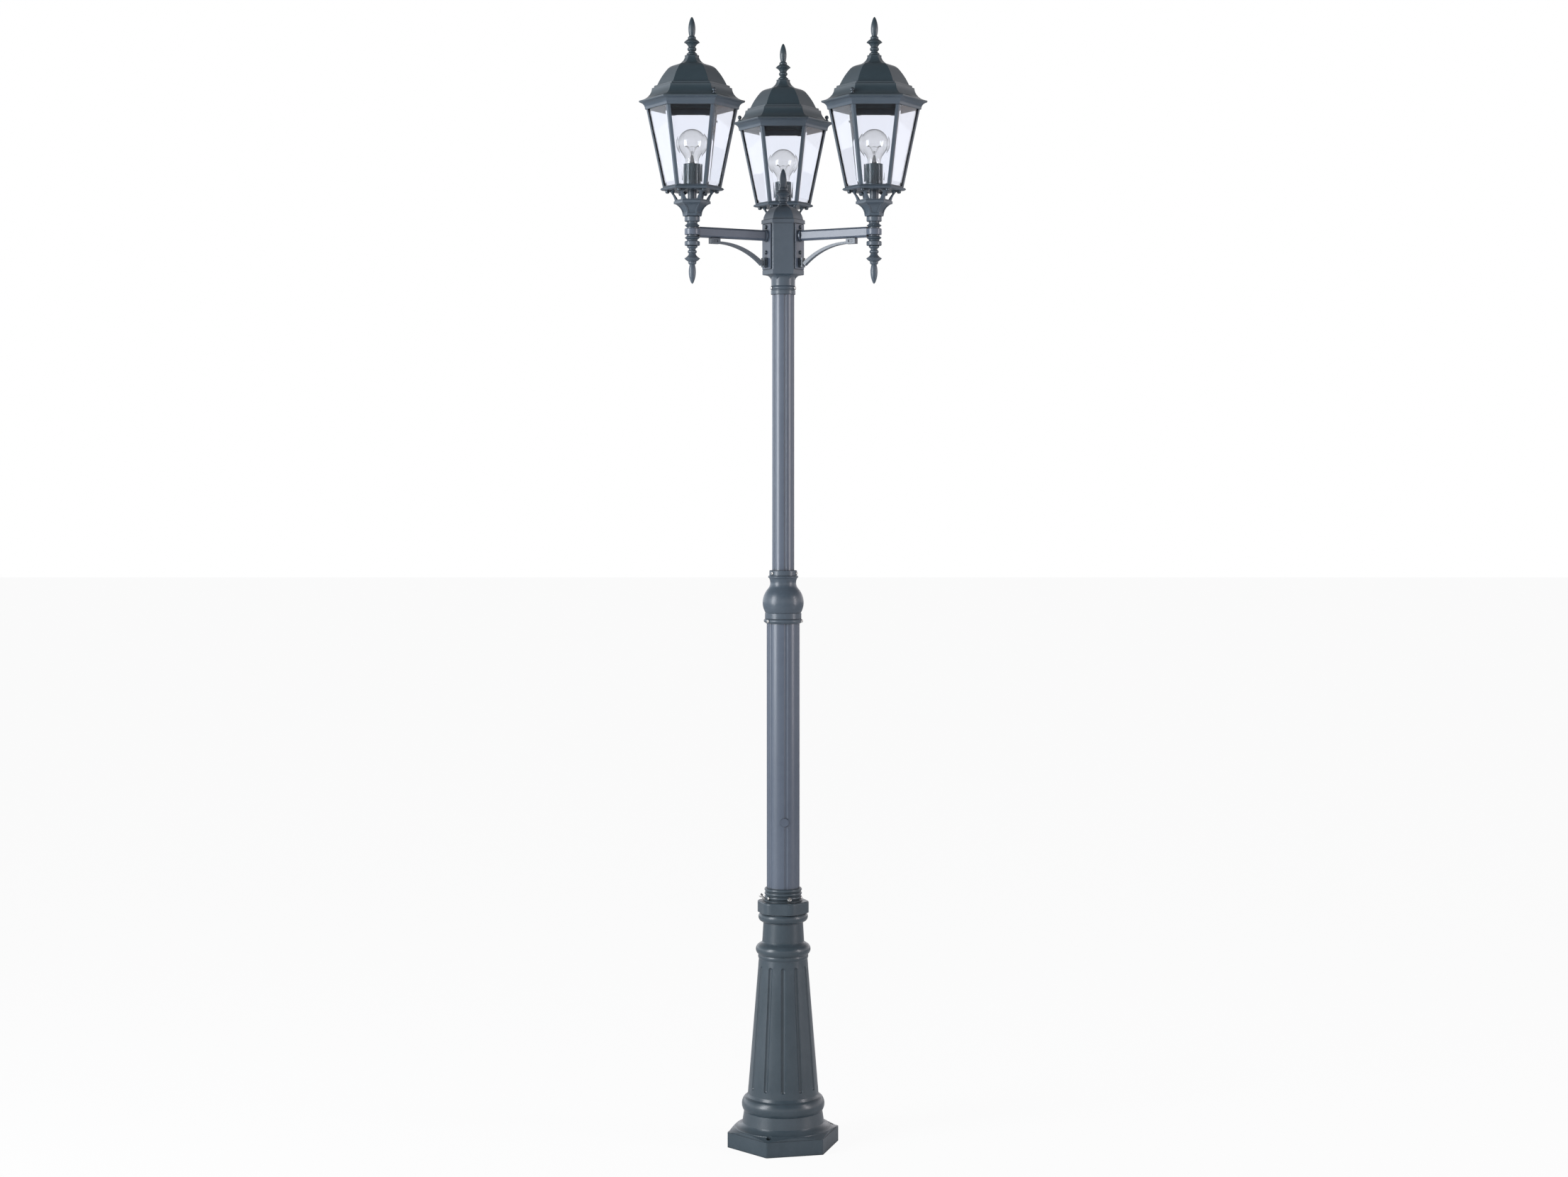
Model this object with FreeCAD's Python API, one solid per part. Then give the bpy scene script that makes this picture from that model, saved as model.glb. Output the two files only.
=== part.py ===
import FreeCAD, Part
import math
import os

# Three-lantern street lamp post. Millimetres, +Z up, origin on the ground at the post's axis,
# -Y is the front. Angles are measured from the front, positive towards +X.

# ---- Gaps and fits ----
SLIP = 0.3                 # gap round a tube, rod or bulb cap in its seat
PANE_GAP = 0.3             # gap round a pane in its pocket
SCREW_GAP = 0.1            # gap round a screw in its hole
LIP_GAP = 0.5              # gap round a locating lip

# ---- Base casting ----
FOOT_CORNER = 126.0        # corner radius of the hexagonal foot
FOOT_HEIGHT = 33.0
FOOT_ROUND = 5.0           # round on the foot's upright corners
FOOT_TURN = -16.6          # angle of one corner of the foot
ANCHOR_INSET = 18.0        # from a corner of the foot to an anchor hole
ANCHOR_HOLE = 5.7          # radius of an anchor hole
ANCHOR_COUNT = 3
FLARE_RISE = 7.0           # how far the skirt's flare stands above the foot
FOOT_LEDGE = 1.4           # flat ledge along the foot's upper edges
SKIRT_INSET = 40.0         # from a corner of the foot to the top of the skirt
SKIRT_HEIGHT = 44.0
SKIRT_SPREAD = 10.0        # extra radius at the foot of the skirt
LOW_BEAD_SWELL = 5.0
LOW_BEAD_HEIGHT = 38.0
CONE_INSET = 8.2           # from the skirt's top to the foot of the cone
CONE_TOP_MARGIN = 17.5     # from the lower tube to the top of the cone
CONE_HEIGHT = 298.0
FLUTE_COUNT = 12
FLUTE_WIDTH = 10.0
FLUTE_DEPTH = 3.0
FLUTE_END = 18.0           # plain band above and below the cone's flutes
HIGH_BEAD_SWELL = 6.5
HIGH_BEAD_HEIGHT = 38.0
NECK_WALL = 7.5            # from the lower tube to the neck's outside
NECK_TAPER = 2.5
NECK_HEIGHT = 43.0
THROAT_SWELL = 10.8
THROAT_HEIGHT = 21.0
FLANGE_MARGIN = 24.0       # from the lower tube to a corner of the hexagonal flange
FLANGE_HEIGHT = 25.0
FLANGE_ROUND = 22.0
FLANGE_EDGE = 3.0          # round on the flange's upper edge
FLANGE_TURN = 20.0
BASE_WALL = 6.0
TUBE_SEAT = 110.0          # how deep the lower tube stands in the base

# ---- Clamp collar on the base ----
CLAMP_WALL = 4.0
CLAMP_BEADS = 3
CLAMP_BEAD_HEIGHT = 8.4
CLAMP_FOOT_HEIGHT = 4.0
CLAMP_SCREW_ANGLES = (16.0, 136.0, 256.0)
CLAMP_SCREW_SLOPE = 48.0   # angle between a clamp screw and the upright
CLAMP_HEAD_RADIUS = 4.6
CLAMP_HEAD_HEIGHT = 5.0
CLAMP_SHANK_RADIUS = 2.4
CLAMP_SHANK_LENGTH = 11.5
CLAMP_STAND = 2.5          # how far a clamp screw's head stands off its seat

# ---- Tubes ----
LOWER_TUBE_RADIUS = 36.0
LOWER_TUBE_LENGTH = 744.0
UPPER_TUBE_RADIUS = 24.2
UPPER_TUBE_LENGTH = 663.0
TUBE_WALL = 3.0
GROOVE_COUNT = 6
GROOVE_PHASE = 10.0
GROOVE_SPAN = 14.0         # angle that one groove takes up
GROOVE_DEPTH = 1.7
PLUG_RADIUS = 9.0
PLUG_HEIGHT = 716.0
PLUG_ANGLE = 5.0
PLUG_STEM_RADIUS = 5.0
PLUG_RISE = 1.2

# ---- Ball coupling between the tubes ----
COUPLING_SEAT = 25.0       # how deep each tube stands in the coupling
LOW_RIM_WALL = 5.8
LOW_RIM_HEIGHT = 11.0
LOW_RING_WALL = 3.8
LOW_RING_HEIGHT = 12.0
BALL_SWELL = 5.0
COUPLING_NECK_WALL = 4.6
BALL_HEIGHT = 77.0         # from the lower ring to the thin bead
THIN_BEAD_SWELL = 4.2
THIN_BEAD_HEIGHT = 3.6
TOP_RING_WALL = 6.0
TOP_RING_HEIGHT = 12.0

# ---- Hub ----
HUB_SEAT = 40.0            # how deep the upper tube stands in the hub
HUB_RING_WALL = 2.6
HUB_RING_HEIGHT = 10.0
HUB_BEAD_SWELL = 1.4
HUB_BEAD_HEIGHT = 8.0
HUB_NECK_WALL = 1.8
HUB_NECK_HEIGHT = 12.0
HUB_FLARE_HEIGHT = 12.0
HUB_LEDGE_HEIGHT = 10.0
HUB_CORNER = 45.0          # corner radius of the hub's six-sided body
HUB_EDGE = 1.2             # bevel on the body's upright edges
HUB_HEIGHT = 100.0
HUB_WALL = 5.0
HUB_CAP_OVERHANG = 2.2
HUB_CAP_RIM = 9.0
HUB_CAP_STEP = 3.8         # from the cap's rim to its dome
HUB_CAP_TOP_CORNER = 12.5
HUB_CAP_DOME_HEIGHT = 30.0
HUB_CAP_WALL = 3.0
BRIDGE_WIDTH = 10.0
BRIDGE_THICKNESS = 4.0
STUD_RADIUS = 3.0          # threaded studs that hold the finials and the cap
STUD_REACH = 10.0          # how far a stud enters a finial

# ---- Small set screws ----
SET_HEAD_RADIUS = 3.4
SET_HEAD_HEIGHT = 2.6
SET_SHANK_RADIUS = 2.0
SET_SCREW_ANGLES = (-50.0, 70.0, 190.0)
HUB_SCREW_ANGLES = (-62.0, 60.0, 180.0)

# ---- Arms and braces ----
ARM_REACH = 223.0          # from the post's axis to a lantern's axis
ARM_DROP = 26.5            # from the hub's top to the arm's centre
ARM_DEPTH = 22.4
ARM_THICKNESS = 16.0
ARM_CHAMFER = 4.2
EYE_RADIUS = 16.3
EYE_HEIGHT = 13.0
PLATE_THICKNESS = 3.4
PLATE_SIDE = 4.5           # from the plate's edge to the hub's corner
PLATE_MARGIN = 1.5         # gap from the plate to the cap and to the ledge
ARM_BOSS_RADIUS = 13.0
ARM_BOSS_LENGTH = 5.0
BRACE_BLOCK_LENGTH = 22.0
BRACE_BLOCK_HEIGHT = 12.0
BRACE_BLOCK_FROM_LANTERN = 43.0
BRACE_WIDTH = 13.0
BRACE_TIP_THICKNESS = 4.6
BRACE_ROOT_THICKNESS = 8.0
BRACE_FOOT_LENGTH = 9.0
BRACE_FOOT_HEIGHT = 20.0
BRACE_FOOT_RISE = 4.0      # from the plate's lower edge to the foot block
BRACE_RECESS = 1.5
PLATE_SCREW_RADIUS = 4.2
PLATE_SCREW_HEIGHT = 3.2
PLATE_SCREW_FROM_TOP = 8.0
PLATE_SCREW_OVER_FOOT = 12.0

# ---- Turned spindles, finials and tie rods ----
UPPER_SPINDLE_HEIGHT = 26.0
LOWER_SPINDLE_HEIGHT = 23.0
SPINDLE_COLLAR = 16.3
SPINDLE_DISC = 16.0
SPINDLE_NECK = 11.8
FINIAL_HEIGHT = 80.9
FINIAL_DISC = 16.6
ROD_RADIUS = 5.0
ROD_BORE = 3.0

# ---- Lantern basket ----
BASKET_FOOT_MARGIN = 3.5   # from the spindle's collar to a corner of the cup
BASKET_CUP_HEIGHT = 26.0
BASKET_BAND_INSET = 8.2    # from the basket's top to its band
BASKET_BAND_HEIGHT = 7.0
BASKET_CAGE_HEIGHT = 21.0
BASKET_INSET = 14.7        # from the cage's foot to the basket's top
BASKET_RIB = 6.2
BASKET_WALL = 4.0
BASKET_TUBE_WALL = 4.2
PANEL_RECESS = 1.0
PLATE_LEDGE = 5.4          # from the cage's foot to the plate's corner
PLATE_HEIGHT = 5.5
PLATE_LIP = 3.0
NUT_INSET = 9.6            # from the cage's corner to a stud
NUT_RADIUS = 4.6
NUT_HEIGHT = 6.0
NUT_STUD_RADIUS = 2.0

# ---- Lantern cage and panes ----
CAGE_LOW_CORNER = 62.1
CAGE_TOP_CORNER = 96.7
CAGE_HEIGHT = 165.5
CORNICE_STEP = 2.7
CORNICE_HEIGHT = 15.7
RIM_OVERHANG = 15.9
POST_LEG = 6.2             # width of a corner post along each pane
POST_DEPTH = 7.0
SILL_HEIGHT = 3.0
SILL_WIDTH = 15.1
PANE_THICKNESS = 3.0
PANE_DEPTH = 1.6           # from the posts' outer face to the pane
PANE_LAP = 2.2
PANE_HEADROOM = 4.0        # from the pane's top to the top of the cornice

# ---- Lantern roof ----
RIM_THICKNESS = 3.0
SWEEP_WIDTH = 27.6
SWEEP_HEIGHT = 26.0
FIRST_STEP_INSET = 5.0
FIRST_STEP_HEIGHT = 6.0
DOME_INSET = 7.0
DOME_HEIGHT = 44.0
SHOULDER_INSET = 21.5      # from the dome's foot to its haunch
TIP_CORNER = 15.4
TIP_HEIGHT = 19.0
ROOF_WALL = 3.0
LIP_HEIGHT = 2.5
KNOB_INSET = 14.6          # from the rim's corner to the thumb screw
KNOB_BALL = 4.4
KNOB_NECK = 2.6
KNOB_FOOT = 4.0
KNOB_STAND = 6.5           # ball's centre above the roof
KNOB_SHANK = 2.0
KNOB_REACH = 8.0           # how far the shank enters the cornice

# ---- Lamp ----
COVER_WALL = 1.0
COVER_HEIGHT = 50.5
SOCKET_WALL = 3.2
SOCKET_ROOM = 0.8          # from the socket to its cover
SOCKET_FLOOR = 14.5
BULB_CAP_RADIUS = 13.0
BULB_CAP_HEIGHT = 26.0
BULB_RADIUS = 30.0
BULB_LENGTH = 110.0
BULB_NECK_STEP = 1.0       # from the cap to the foot of the glass
BULB_STAND = 1.0           # from the socket to the glass
GLASS_WALL = 0.8

# ---- Radii and corner radii worked out from the tubes, the foot and the cage ----
COS30 = math.cos(math.radians(30.0))
ANCHOR_CIRCLE = FOOT_CORNER - ANCHOR_INSET
SKIRT_TOP_RADIUS = FOOT_CORNER - SKIRT_INSET
LOW_BEAD_RADIUS = SKIRT_TOP_RADIUS + LOW_BEAD_SWELL
CONE_LOW_RADIUS = SKIRT_TOP_RADIUS - CONE_INSET
CONE_TOP_RADIUS = LOWER_TUBE_RADIUS + CONE_TOP_MARGIN
HIGH_BEAD_RADIUS = CONE_TOP_RADIUS + HIGH_BEAD_SWELL
NECK_TOP_RADIUS = LOWER_TUBE_RADIUS + NECK_WALL
NECK_LOW_RADIUS = NECK_TOP_RADIUS + NECK_TAPER
THROAT_RADIUS = NECK_TOP_RADIUS + THROAT_SWELL
FLANGE_CORNER = LOWER_TUBE_RADIUS + FLANGE_MARGIN
CLAMP_RADIUS = LOWER_TUBE_RADIUS + CLAMP_WALL
LOW_RIM_RADIUS = LOWER_TUBE_RADIUS + LOW_RIM_WALL
LOW_RING_RADIUS = LOWER_TUBE_RADIUS + LOW_RING_WALL
BALL_RADIUS = LOW_RING_RADIUS + BALL_SWELL
COUPLING_NECK_RADIUS = UPPER_TUBE_RADIUS + COUPLING_NECK_WALL
THIN_BEAD_RADIUS = COUPLING_NECK_RADIUS + THIN_BEAD_SWELL
TOP_RING_RADIUS = UPPER_TUBE_RADIUS + TOP_RING_WALL
HUB_RING_RADIUS = UPPER_TUBE_RADIUS + HUB_RING_WALL
HUB_BEAD_RADIUS = HUB_RING_RADIUS + HUB_BEAD_SWELL
HUB_NECK_RADIUS = UPPER_TUBE_RADIUS + HUB_NECK_WALL
HUB_CAP_CORNER = HUB_CORNER + HUB_CAP_OVERHANG
HUB_CAP_DOME_CORNER = HUB_CAP_CORNER - HUB_CAP_STEP
HUB_FACE = HUB_CORNER * COS30
PLATE_FACE = HUB_FACE + PLATE_THICKNESS
PLATE_WIDTH = HUB_CORNER - 2 * PLATE_SIDE
PLATE_CORNER = CAGE_LOW_CORNER + PLATE_LEDGE
NUT_CORNER = CAGE_LOW_CORNER - NUT_INSET
BASKET_TOP_CORNER = CAGE_LOW_CORNER - BASKET_INSET
BASKET_BAND_CORNER = BASKET_TOP_CORNER - BASKET_BAND_INSET
BASKET_FOOT_CORNER = SPINDLE_COLLAR + BASKET_FOOT_MARGIN
BASKET_TUBE_RADIUS = ROD_RADIUS + SLIP + BASKET_TUBE_WALL
RIM_CORNER = CAGE_TOP_CORNER + RIM_OVERHANG
SWEEP_TOP_CORNER = RIM_CORNER - SWEEP_WIDTH
FIRST_STEP_CORNER = SWEEP_TOP_CORNER - FIRST_STEP_INSET
DOME_CORNER = FIRST_STEP_CORNER - DOME_INSET
DOME_SHOULDER_CORNER = DOME_CORNER - SHOULDER_INSET
SOCKET_RADIUS = BULB_CAP_RADIUS + SLIP + SOCKET_WALL
COVER_RADIUS = SOCKET_RADIUS + SOCKET_ROOM + COVER_WALL
BULB_NECK = BULB_CAP_RADIUS + BULB_NECK_STEP

# ---- Heights worked out from the ground up ----
SKIRT_TOP = FOOT_HEIGHT + SKIRT_HEIGHT
CONE_FOOT = SKIRT_TOP + LOW_BEAD_HEIGHT
CONE_TOP = CONE_FOOT + CONE_HEIGHT
NECK_FOOT = CONE_TOP + HIGH_BEAD_HEIGHT
NECK_TOP = NECK_FOOT + NECK_HEIGHT
FLANGE_FOOT = NECK_TOP + THROAT_HEIGHT
BASE_TOP = FLANGE_FOOT + FLANGE_HEIGHT
LOWER_TUBE_FOOT = BASE_TOP - TUBE_SEAT
LOWER_TUBE_TOP = LOWER_TUBE_FOOT + LOWER_TUBE_LENGTH
COUPLING_FOOT = LOWER_TUBE_TOP - COUPLING_SEAT
LOW_RING_FOOT = COUPLING_FOOT + LOW_RIM_HEIGHT
BALL_FOOT = LOW_RING_FOOT + LOW_RING_HEIGHT
THIN_BEAD_FOOT = BALL_FOOT + BALL_HEIGHT
TOP_RING_FOOT = THIN_BEAD_FOOT + THIN_BEAD_HEIGHT
COUPLING_TOP = TOP_RING_FOOT + TOP_RING_HEIGHT
UPPER_TUBE_FOOT = COUPLING_TOP - COUPLING_SEAT
UPPER_TUBE_TOP = UPPER_TUBE_FOOT + UPPER_TUBE_LENGTH
HUB_FOOT = UPPER_TUBE_TOP - HUB_SEAT
HUB_NECK_FOOT = HUB_FOOT + HUB_RING_HEIGHT + HUB_BEAD_HEIGHT
HUB_FLARE_FOOT = HUB_NECK_FOOT + HUB_NECK_HEIGHT
HUB_LEDGE_FOOT = HUB_FLARE_FOOT + HUB_FLARE_HEIGHT
HUB_BODY_FOOT = HUB_LEDGE_FOOT + HUB_LEDGE_HEIGHT
HUB_TOP = HUB_BODY_FOOT + HUB_HEIGHT
HUB_CAP_TOP = HUB_TOP + HUB_CAP_RIM + HUB_CAP_DOME_HEIGHT
ARM_Z = HUB_TOP - ARM_DROP
ARM_PLATE_FOOT = HUB_BODY_FOOT + PLATE_MARGIN
ARM_PLATE_TOP = HUB_TOP - PLATE_MARGIN
BRACE_FOOT = ARM_PLATE_FOOT + BRACE_FOOT_RISE
EYE_TOP = ARM_Z + EYE_HEIGHT / 2
EYE_FOOT = ARM_Z - EYE_HEIGHT / 2
BASKET_FOOT = EYE_TOP + UPPER_SPINDLE_HEIGHT
BAND_FOOT = BASKET_FOOT + BASKET_CUP_HEIGHT
BASKET_CAGE_FOOT = BAND_FOOT + BASKET_BAND_HEIGHT
PLATE_FOOT = BASKET_CAGE_FOOT + BASKET_CAGE_HEIGHT
PLATE_TOP = PLATE_FOOT + PLATE_HEIGHT
SILL_TOP = PLATE_TOP + SILL_HEIGHT
CORNICE_FOOT = PLATE_TOP + CAGE_HEIGHT
ROOF_FOOT = CORNICE_FOOT + CORNICE_HEIGHT
SWEEP_TOP = ROOF_FOOT + RIM_THICKNESS + SWEEP_HEIGHT
DOME_FOOT = SWEEP_TOP + FIRST_STEP_HEIGHT
DOME_TOP = DOME_FOOT + DOME_HEIGHT
ROOF_TOP = DOME_TOP + TIP_HEIGHT
SOCKET_TOP = PLATE_TOP + SOCKET_FLOOR + BULB_CAP_HEIGHT - BULB_STAND
BULB_FOOT = PLATE_TOP + SOCKET_FLOOR

# ---- The three lanterns: name and the angle of the arm from the front ----
LANTERNS = (("left", -60.0), ("right", 60.0), ("rear", 180.0))


def bend(start, middle, end):
    """Arc through three points, or a spline where the arc's circle would cross the Z axis."""
    arc = Part.Arc(start, middle, end).toShape()
    if abs(arc.Curve.Center.x) < 1e-6 or arc.Curve.Center.x > arc.Curve.Radius:
        return arc
    spline = Part.BSplineCurve()
    spline.interpolate([start, middle, end])
    return spline.toShape()


def edges_through(points):
    """Edges in the XZ plane. A point is (x, z); (mid x, mid z, x, z) ends a curve."""
    edges = []
    start = FreeCAD.Vector(points[0][0], 0, points[0][1])
    for point in points[1:]:
        end = FreeCAD.Vector(point[-2], 0, point[-1])
        if len(point) == 4:
            edges.append(bend(start, FreeCAD.Vector(point[0], 0, point[1]), end))
        else:
            edges.append(Part.LineSegment(start, end).toShape())
        start = end
    return edges


def outline_face(points):
    """Closed face in the XZ plane; a straight edge joins an open outline's ends."""
    outline = list(points)
    if outline[-1][-2:] != outline[0]:
        outline.append(outline[0])
    return Part.Face(Part.Wire(edges_through(outline)))


def turned(points):
    """Solid turned about the Z axis from an outline of (radius, height) points."""
    return outline_face(points).revolve(FreeCAD.Vector(), FreeCAD.Vector(0, 0, 1), 360)


def rod(radius, foot, top):
    """Upright round bar on the Z axis."""
    return Part.makeCylinder(radius, top - foot, FreeCAD.Vector(0, 0, foot))


def spun(shape, angle):
    """The shape turned about Z, from the front towards +X."""
    copy = shape.copy()
    copy.rotate(FreeCAD.Vector(), FreeCAD.Vector(0, 0, 1), angle)
    return copy


def around(shape, count, phase=0.0):
    """Copies of the shape at equal angles about Z."""
    return [spun(shape, phase + 360.0 * k / count) for k in range(count)]


def six_sided(points):
    """Solid with a regular hexagon at each height. Points are (corner radius, height)."""
    flats = []
    for point in points:
        flats.append(tuple(v * COS30 if k % 2 == 0 else v for k, v in enumerate(point)))
    right = edges_through(flats)
    left = [edge.mirror(FreeCAD.Vector(), FreeCAD.Vector(1, 0, 0)) for edge in right]
    ends = []
    for x, z in (flats[0][-2:], flats[-1][-2:]):
        ends.append(Part.LineSegment(FreeCAD.Vector(-x, 0, z), FreeCAD.Vector(x, 0, z)).toShape())
    face = Part.Face(Part.Wire(Part.__sortEdges__(right + left + ends)))
    reach = 3 * max(point[-2] for point in flats)
    prism = face.extrude(FreeCAD.Vector(0, 2 * reach, 0))
    prism.translate(FreeCAD.Vector(0, -reach, 0))
    shape = spun(prism, 90)
    for angle in (30, 150):
        shape = shape.common(spun(prism, angle))
    return shape


def prism_six(corner, foot, top, round_radius=0.0):
    """Upright six-sided prism, faces to the front and back, its upright edges rounded."""
    shape = six_sided([(corner, foot), (corner, top)])
    if round_radius <= 0:
        return shape
    upright = [edge for edge in shape.Edges if abs(edge.tangentAt(edge.FirstParameter).z) > 0.99]
    return shape.makeFillet(round_radius, upright)


def keep(name, shape):
    """Write one sub-part to its own file."""
    shape.exportStep("parts/" + name + ".step")


def polar(radius, angle, height):
    """Point at an angle from the front."""
    turn = math.radians(angle)
    return FreeCAD.Vector(radius * math.sin(turn), -radius * math.cos(turn), height)


def radial_screw(angle, height, seat_radius, tip_radius):
    """Round-headed set screw that points at the axis: head outside the seat, shank inwards."""
    outwards = polar(1, angle, 0)
    head = Part.makeCylinder(SET_HEAD_RADIUS, SET_HEAD_HEIGHT, polar(seat_radius, angle, height), outwards)
    rim = [edge for edge in head.Edges if edge.Closed]
    outer = max(rim, key=lambda edge: edge.CenterOfMass.dot(outwards))
    head = head.makeFillet(SET_HEAD_HEIGHT * 0.5, [outer])
    socket = Part.makeCylinder(
        SET_HEAD_RADIUS * 0.42, SET_HEAD_HEIGHT,
        polar(seat_radius + SET_HEAD_HEIGHT * 0.5, angle, height), outwards)
    shank = Part.makeCylinder(
        SET_SHANK_RADIUS, seat_radius - tip_radius, polar(tip_radius, angle, height), outwards)
    return head.cut(socket).fuse(shank)


def radial_hole(radius, angle, height, outer_radius):
    """Cutter for a hole that runs from the axis outwards."""
    return Part.makeCylinder(radius, outer_radius, polar(0, angle, height), polar(1, angle, 0))


def set_screw_hole(angle, height):
    """Cutter for a small screw's hole, from the axis out past the widest collar."""
    return radial_hole(SET_SHANK_RADIUS + SCREW_GAP, angle, height, HUB_CORNER + LOW_RIM_RADIUS)


# ---------------------------------------------------------------------------
# Post
# ---------------------------------------------------------------------------

def cone_radius(height):
    """Outer radius of the fluted cone."""
    share = (height - CONE_FOOT) / CONE_HEIGHT
    return CONE_LOW_RADIUS + (CONE_TOP_RADIUS - CONE_LOW_RADIUS) * share


def cone_flute():
    """Cutter for one flute of the cone, with rounded ends, at the front."""
    radius = (FLUTE_WIDTH ** 2 / 4 + FLUTE_DEPTH ** 2) / (2 * FLUTE_DEPTH)
    low = CONE_FOOT + FLUTE_END
    high = CONE_TOP - FLUTE_END
    out = radius - FLUTE_DEPTH
    foot = FreeCAD.Vector(0, -cone_radius(low) - out, low)
    top = FreeCAD.Vector(0, -cone_radius(high) - out, high)
    run = top - foot
    bar = Part.makeCylinder(radius, run.Length, foot, run)
    return bar.fuse([Part.makeSphere(radius, foot), Part.makeSphere(radius, top)])


def base_casting():
    """Hexagonal foot, flared skirt, fluted cone, neck and flange in one hollow casting."""
    skirt_radius = SKIRT_TOP_RADIUS + SKIRT_SPREAD
    flare_top = FOOT_HEIGHT + FLARE_RISE
    body = turned([
        (0, 0), (FOOT_CORNER, 0), (FOOT_CORNER, FOOT_HEIGHT), (FOOT_CORNER - 5, FOOT_HEIGHT + 0.2),
        (FOOT_CORNER * 0.9, FOOT_HEIGHT + FLARE_RISE * 0.5, skirt_radius + 10, flare_top),
        (skirt_radius + 9, flare_top + 1.6),
        (skirt_radius, flare_top + 5, skirt_radius - 6, flare_top + 12),
        (SKIRT_TOP_RADIUS, SKIRT_TOP),
        (LOW_BEAD_RADIUS, SKIRT_TOP + LOW_BEAD_HEIGHT * 0.42, SKIRT_TOP_RADIUS, CONE_FOOT - 9),
        (CONE_LOW_RADIUS + 3, CONE_FOOT - 6), (CONE_LOW_RADIUS, CONE_FOOT),
        (CONE_TOP_RADIUS, CONE_TOP),
        (CONE_TOP_RADIUS + 1.6, CONE_TOP + 4, CONE_TOP_RADIUS + 1, CONE_TOP + 9),
        (HIGH_BEAD_RADIUS - 4, CONE_TOP + 11),
        (HIGH_BEAD_RADIUS, CONE_TOP + HIGH_BEAD_HEIGHT * 0.58, HIGH_BEAD_RADIUS - 5, NECK_FOOT - 7),
        (NECK_LOW_RADIUS + 2, NECK_FOOT - 3), (NECK_LOW_RADIUS, NECK_FOOT),
        (NECK_TOP_RADIUS, NECK_TOP),
        (THROAT_RADIUS, NECK_TOP + THROAT_HEIGHT * 0.5, THROAT_RADIUS - 4, FLANGE_FOOT - 1.5),
        (THROAT_RADIUS - 4, FLANGE_FOOT), (0, FLANGE_FOOT)])
    foot = prism_six(FOOT_CORNER, 0, FOOT_HEIGHT, FOOT_ROUND)
    above = prism_six(FOOT_CORNER - FOOT_LEDGE / COS30, FOOT_HEIGHT - 1, BASE_TOP, FOOT_ROUND)
    body = body.common(spun(foot.fuse(above), FOOT_TURN + 30))
    flange = prism_six(FLANGE_CORNER, FLANGE_FOOT, BASE_TOP, FLANGE_ROUND)
    top_edges = [edge for edge in flange.Edges if edge.CenterOfMass.z > BASE_TOP - 0.01]
    flange = flange.makeFillet(FLANGE_EDGE, top_edges)
    body = body.fuse(spun(flange, FLANGE_TURN + 30))
    bore = LOWER_TUBE_RADIUS + SLIP
    step = bore - TUBE_WALL - 2
    hollow = turned([
        (0, -1), (SKIRT_TOP_RADIUS + 1, -1), (SKIRT_TOP_RADIUS - BASE_WALL, SKIRT_TOP),
        (CONE_LOW_RADIUS - FLUTE_DEPTH - BASE_WALL, CONE_FOOT),
        (CONE_TOP_RADIUS - FLUTE_DEPTH - BASE_WALL, CONE_TOP - BASE_WALL),
        (step, LOWER_TUBE_FOOT - BASE_WALL), (step, LOWER_TUBE_FOOT),
        (bore, LOWER_TUBE_FOOT), (bore, BASE_TOP + 1), (0, BASE_TOP + 1)])
    cutters = [hollow] + around(cone_flute(), FLUTE_COUNT)
    for hole in range(ANCHOR_COUNT):
        place = polar(ANCHOR_CIRCLE, FOOT_TURN + 360.0 * hole / ANCHOR_COUNT, -1)
        cutters.append(Part.makeCylinder(ANCHOR_HOLE, FOOT_HEIGHT + SKIRT_HEIGHT, place))
    for angle in CLAMP_SCREW_ANGLES:
        cutters.append(clamp_screw_hole(angle))
    return body.cut(cutters)


def clamp_frame(angle):
    """Where a clamp screw's head meets the collar, and the direction that it points outwards."""
    slope = math.radians(CLAMP_SCREW_SLOPE)
    outwards = polar(math.sin(slope), angle, math.cos(slope))
    seat = polar(CLAMP_RADIUS + CLAMP_HEAD_RADIUS + 2, angle, BASE_TOP + CLAMP_HEAD_RADIUS + 1)
    return seat + outwards * CLAMP_STAND, outwards


def clamp_screw(angle):
    """Socket-headed screw that slopes down through the flange towards the tube."""
    seat, outwards = clamp_frame(angle)
    head = Part.makeCylinder(CLAMP_HEAD_RADIUS, CLAMP_HEAD_HEIGHT, seat, outwards)
    head = head.makeFillet(0.8, [edge for edge in head.Edges if edge.Closed])
    socket = Part.makeCylinder(
        CLAMP_HEAD_RADIUS * 0.45, CLAMP_HEAD_HEIGHT, seat + outwards * (CLAMP_HEAD_HEIGHT * 0.4), outwards)
    shank = Part.makeCylinder(
        CLAMP_SHANK_RADIUS, CLAMP_SHANK_LENGTH, seat - outwards * CLAMP_SHANK_LENGTH, outwards)
    return head.cut(socket).fuse(shank)


def clamp_screw_hole(angle):
    """Cutter for a clamp screw's shank."""
    seat, outwards = clamp_frame(angle)
    length = CLAMP_SHANK_LENGTH + 1
    return Part.makeCylinder(CLAMP_SHANK_RADIUS + SCREW_GAP, length + 3, seat - outwards * length, outwards)


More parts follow.
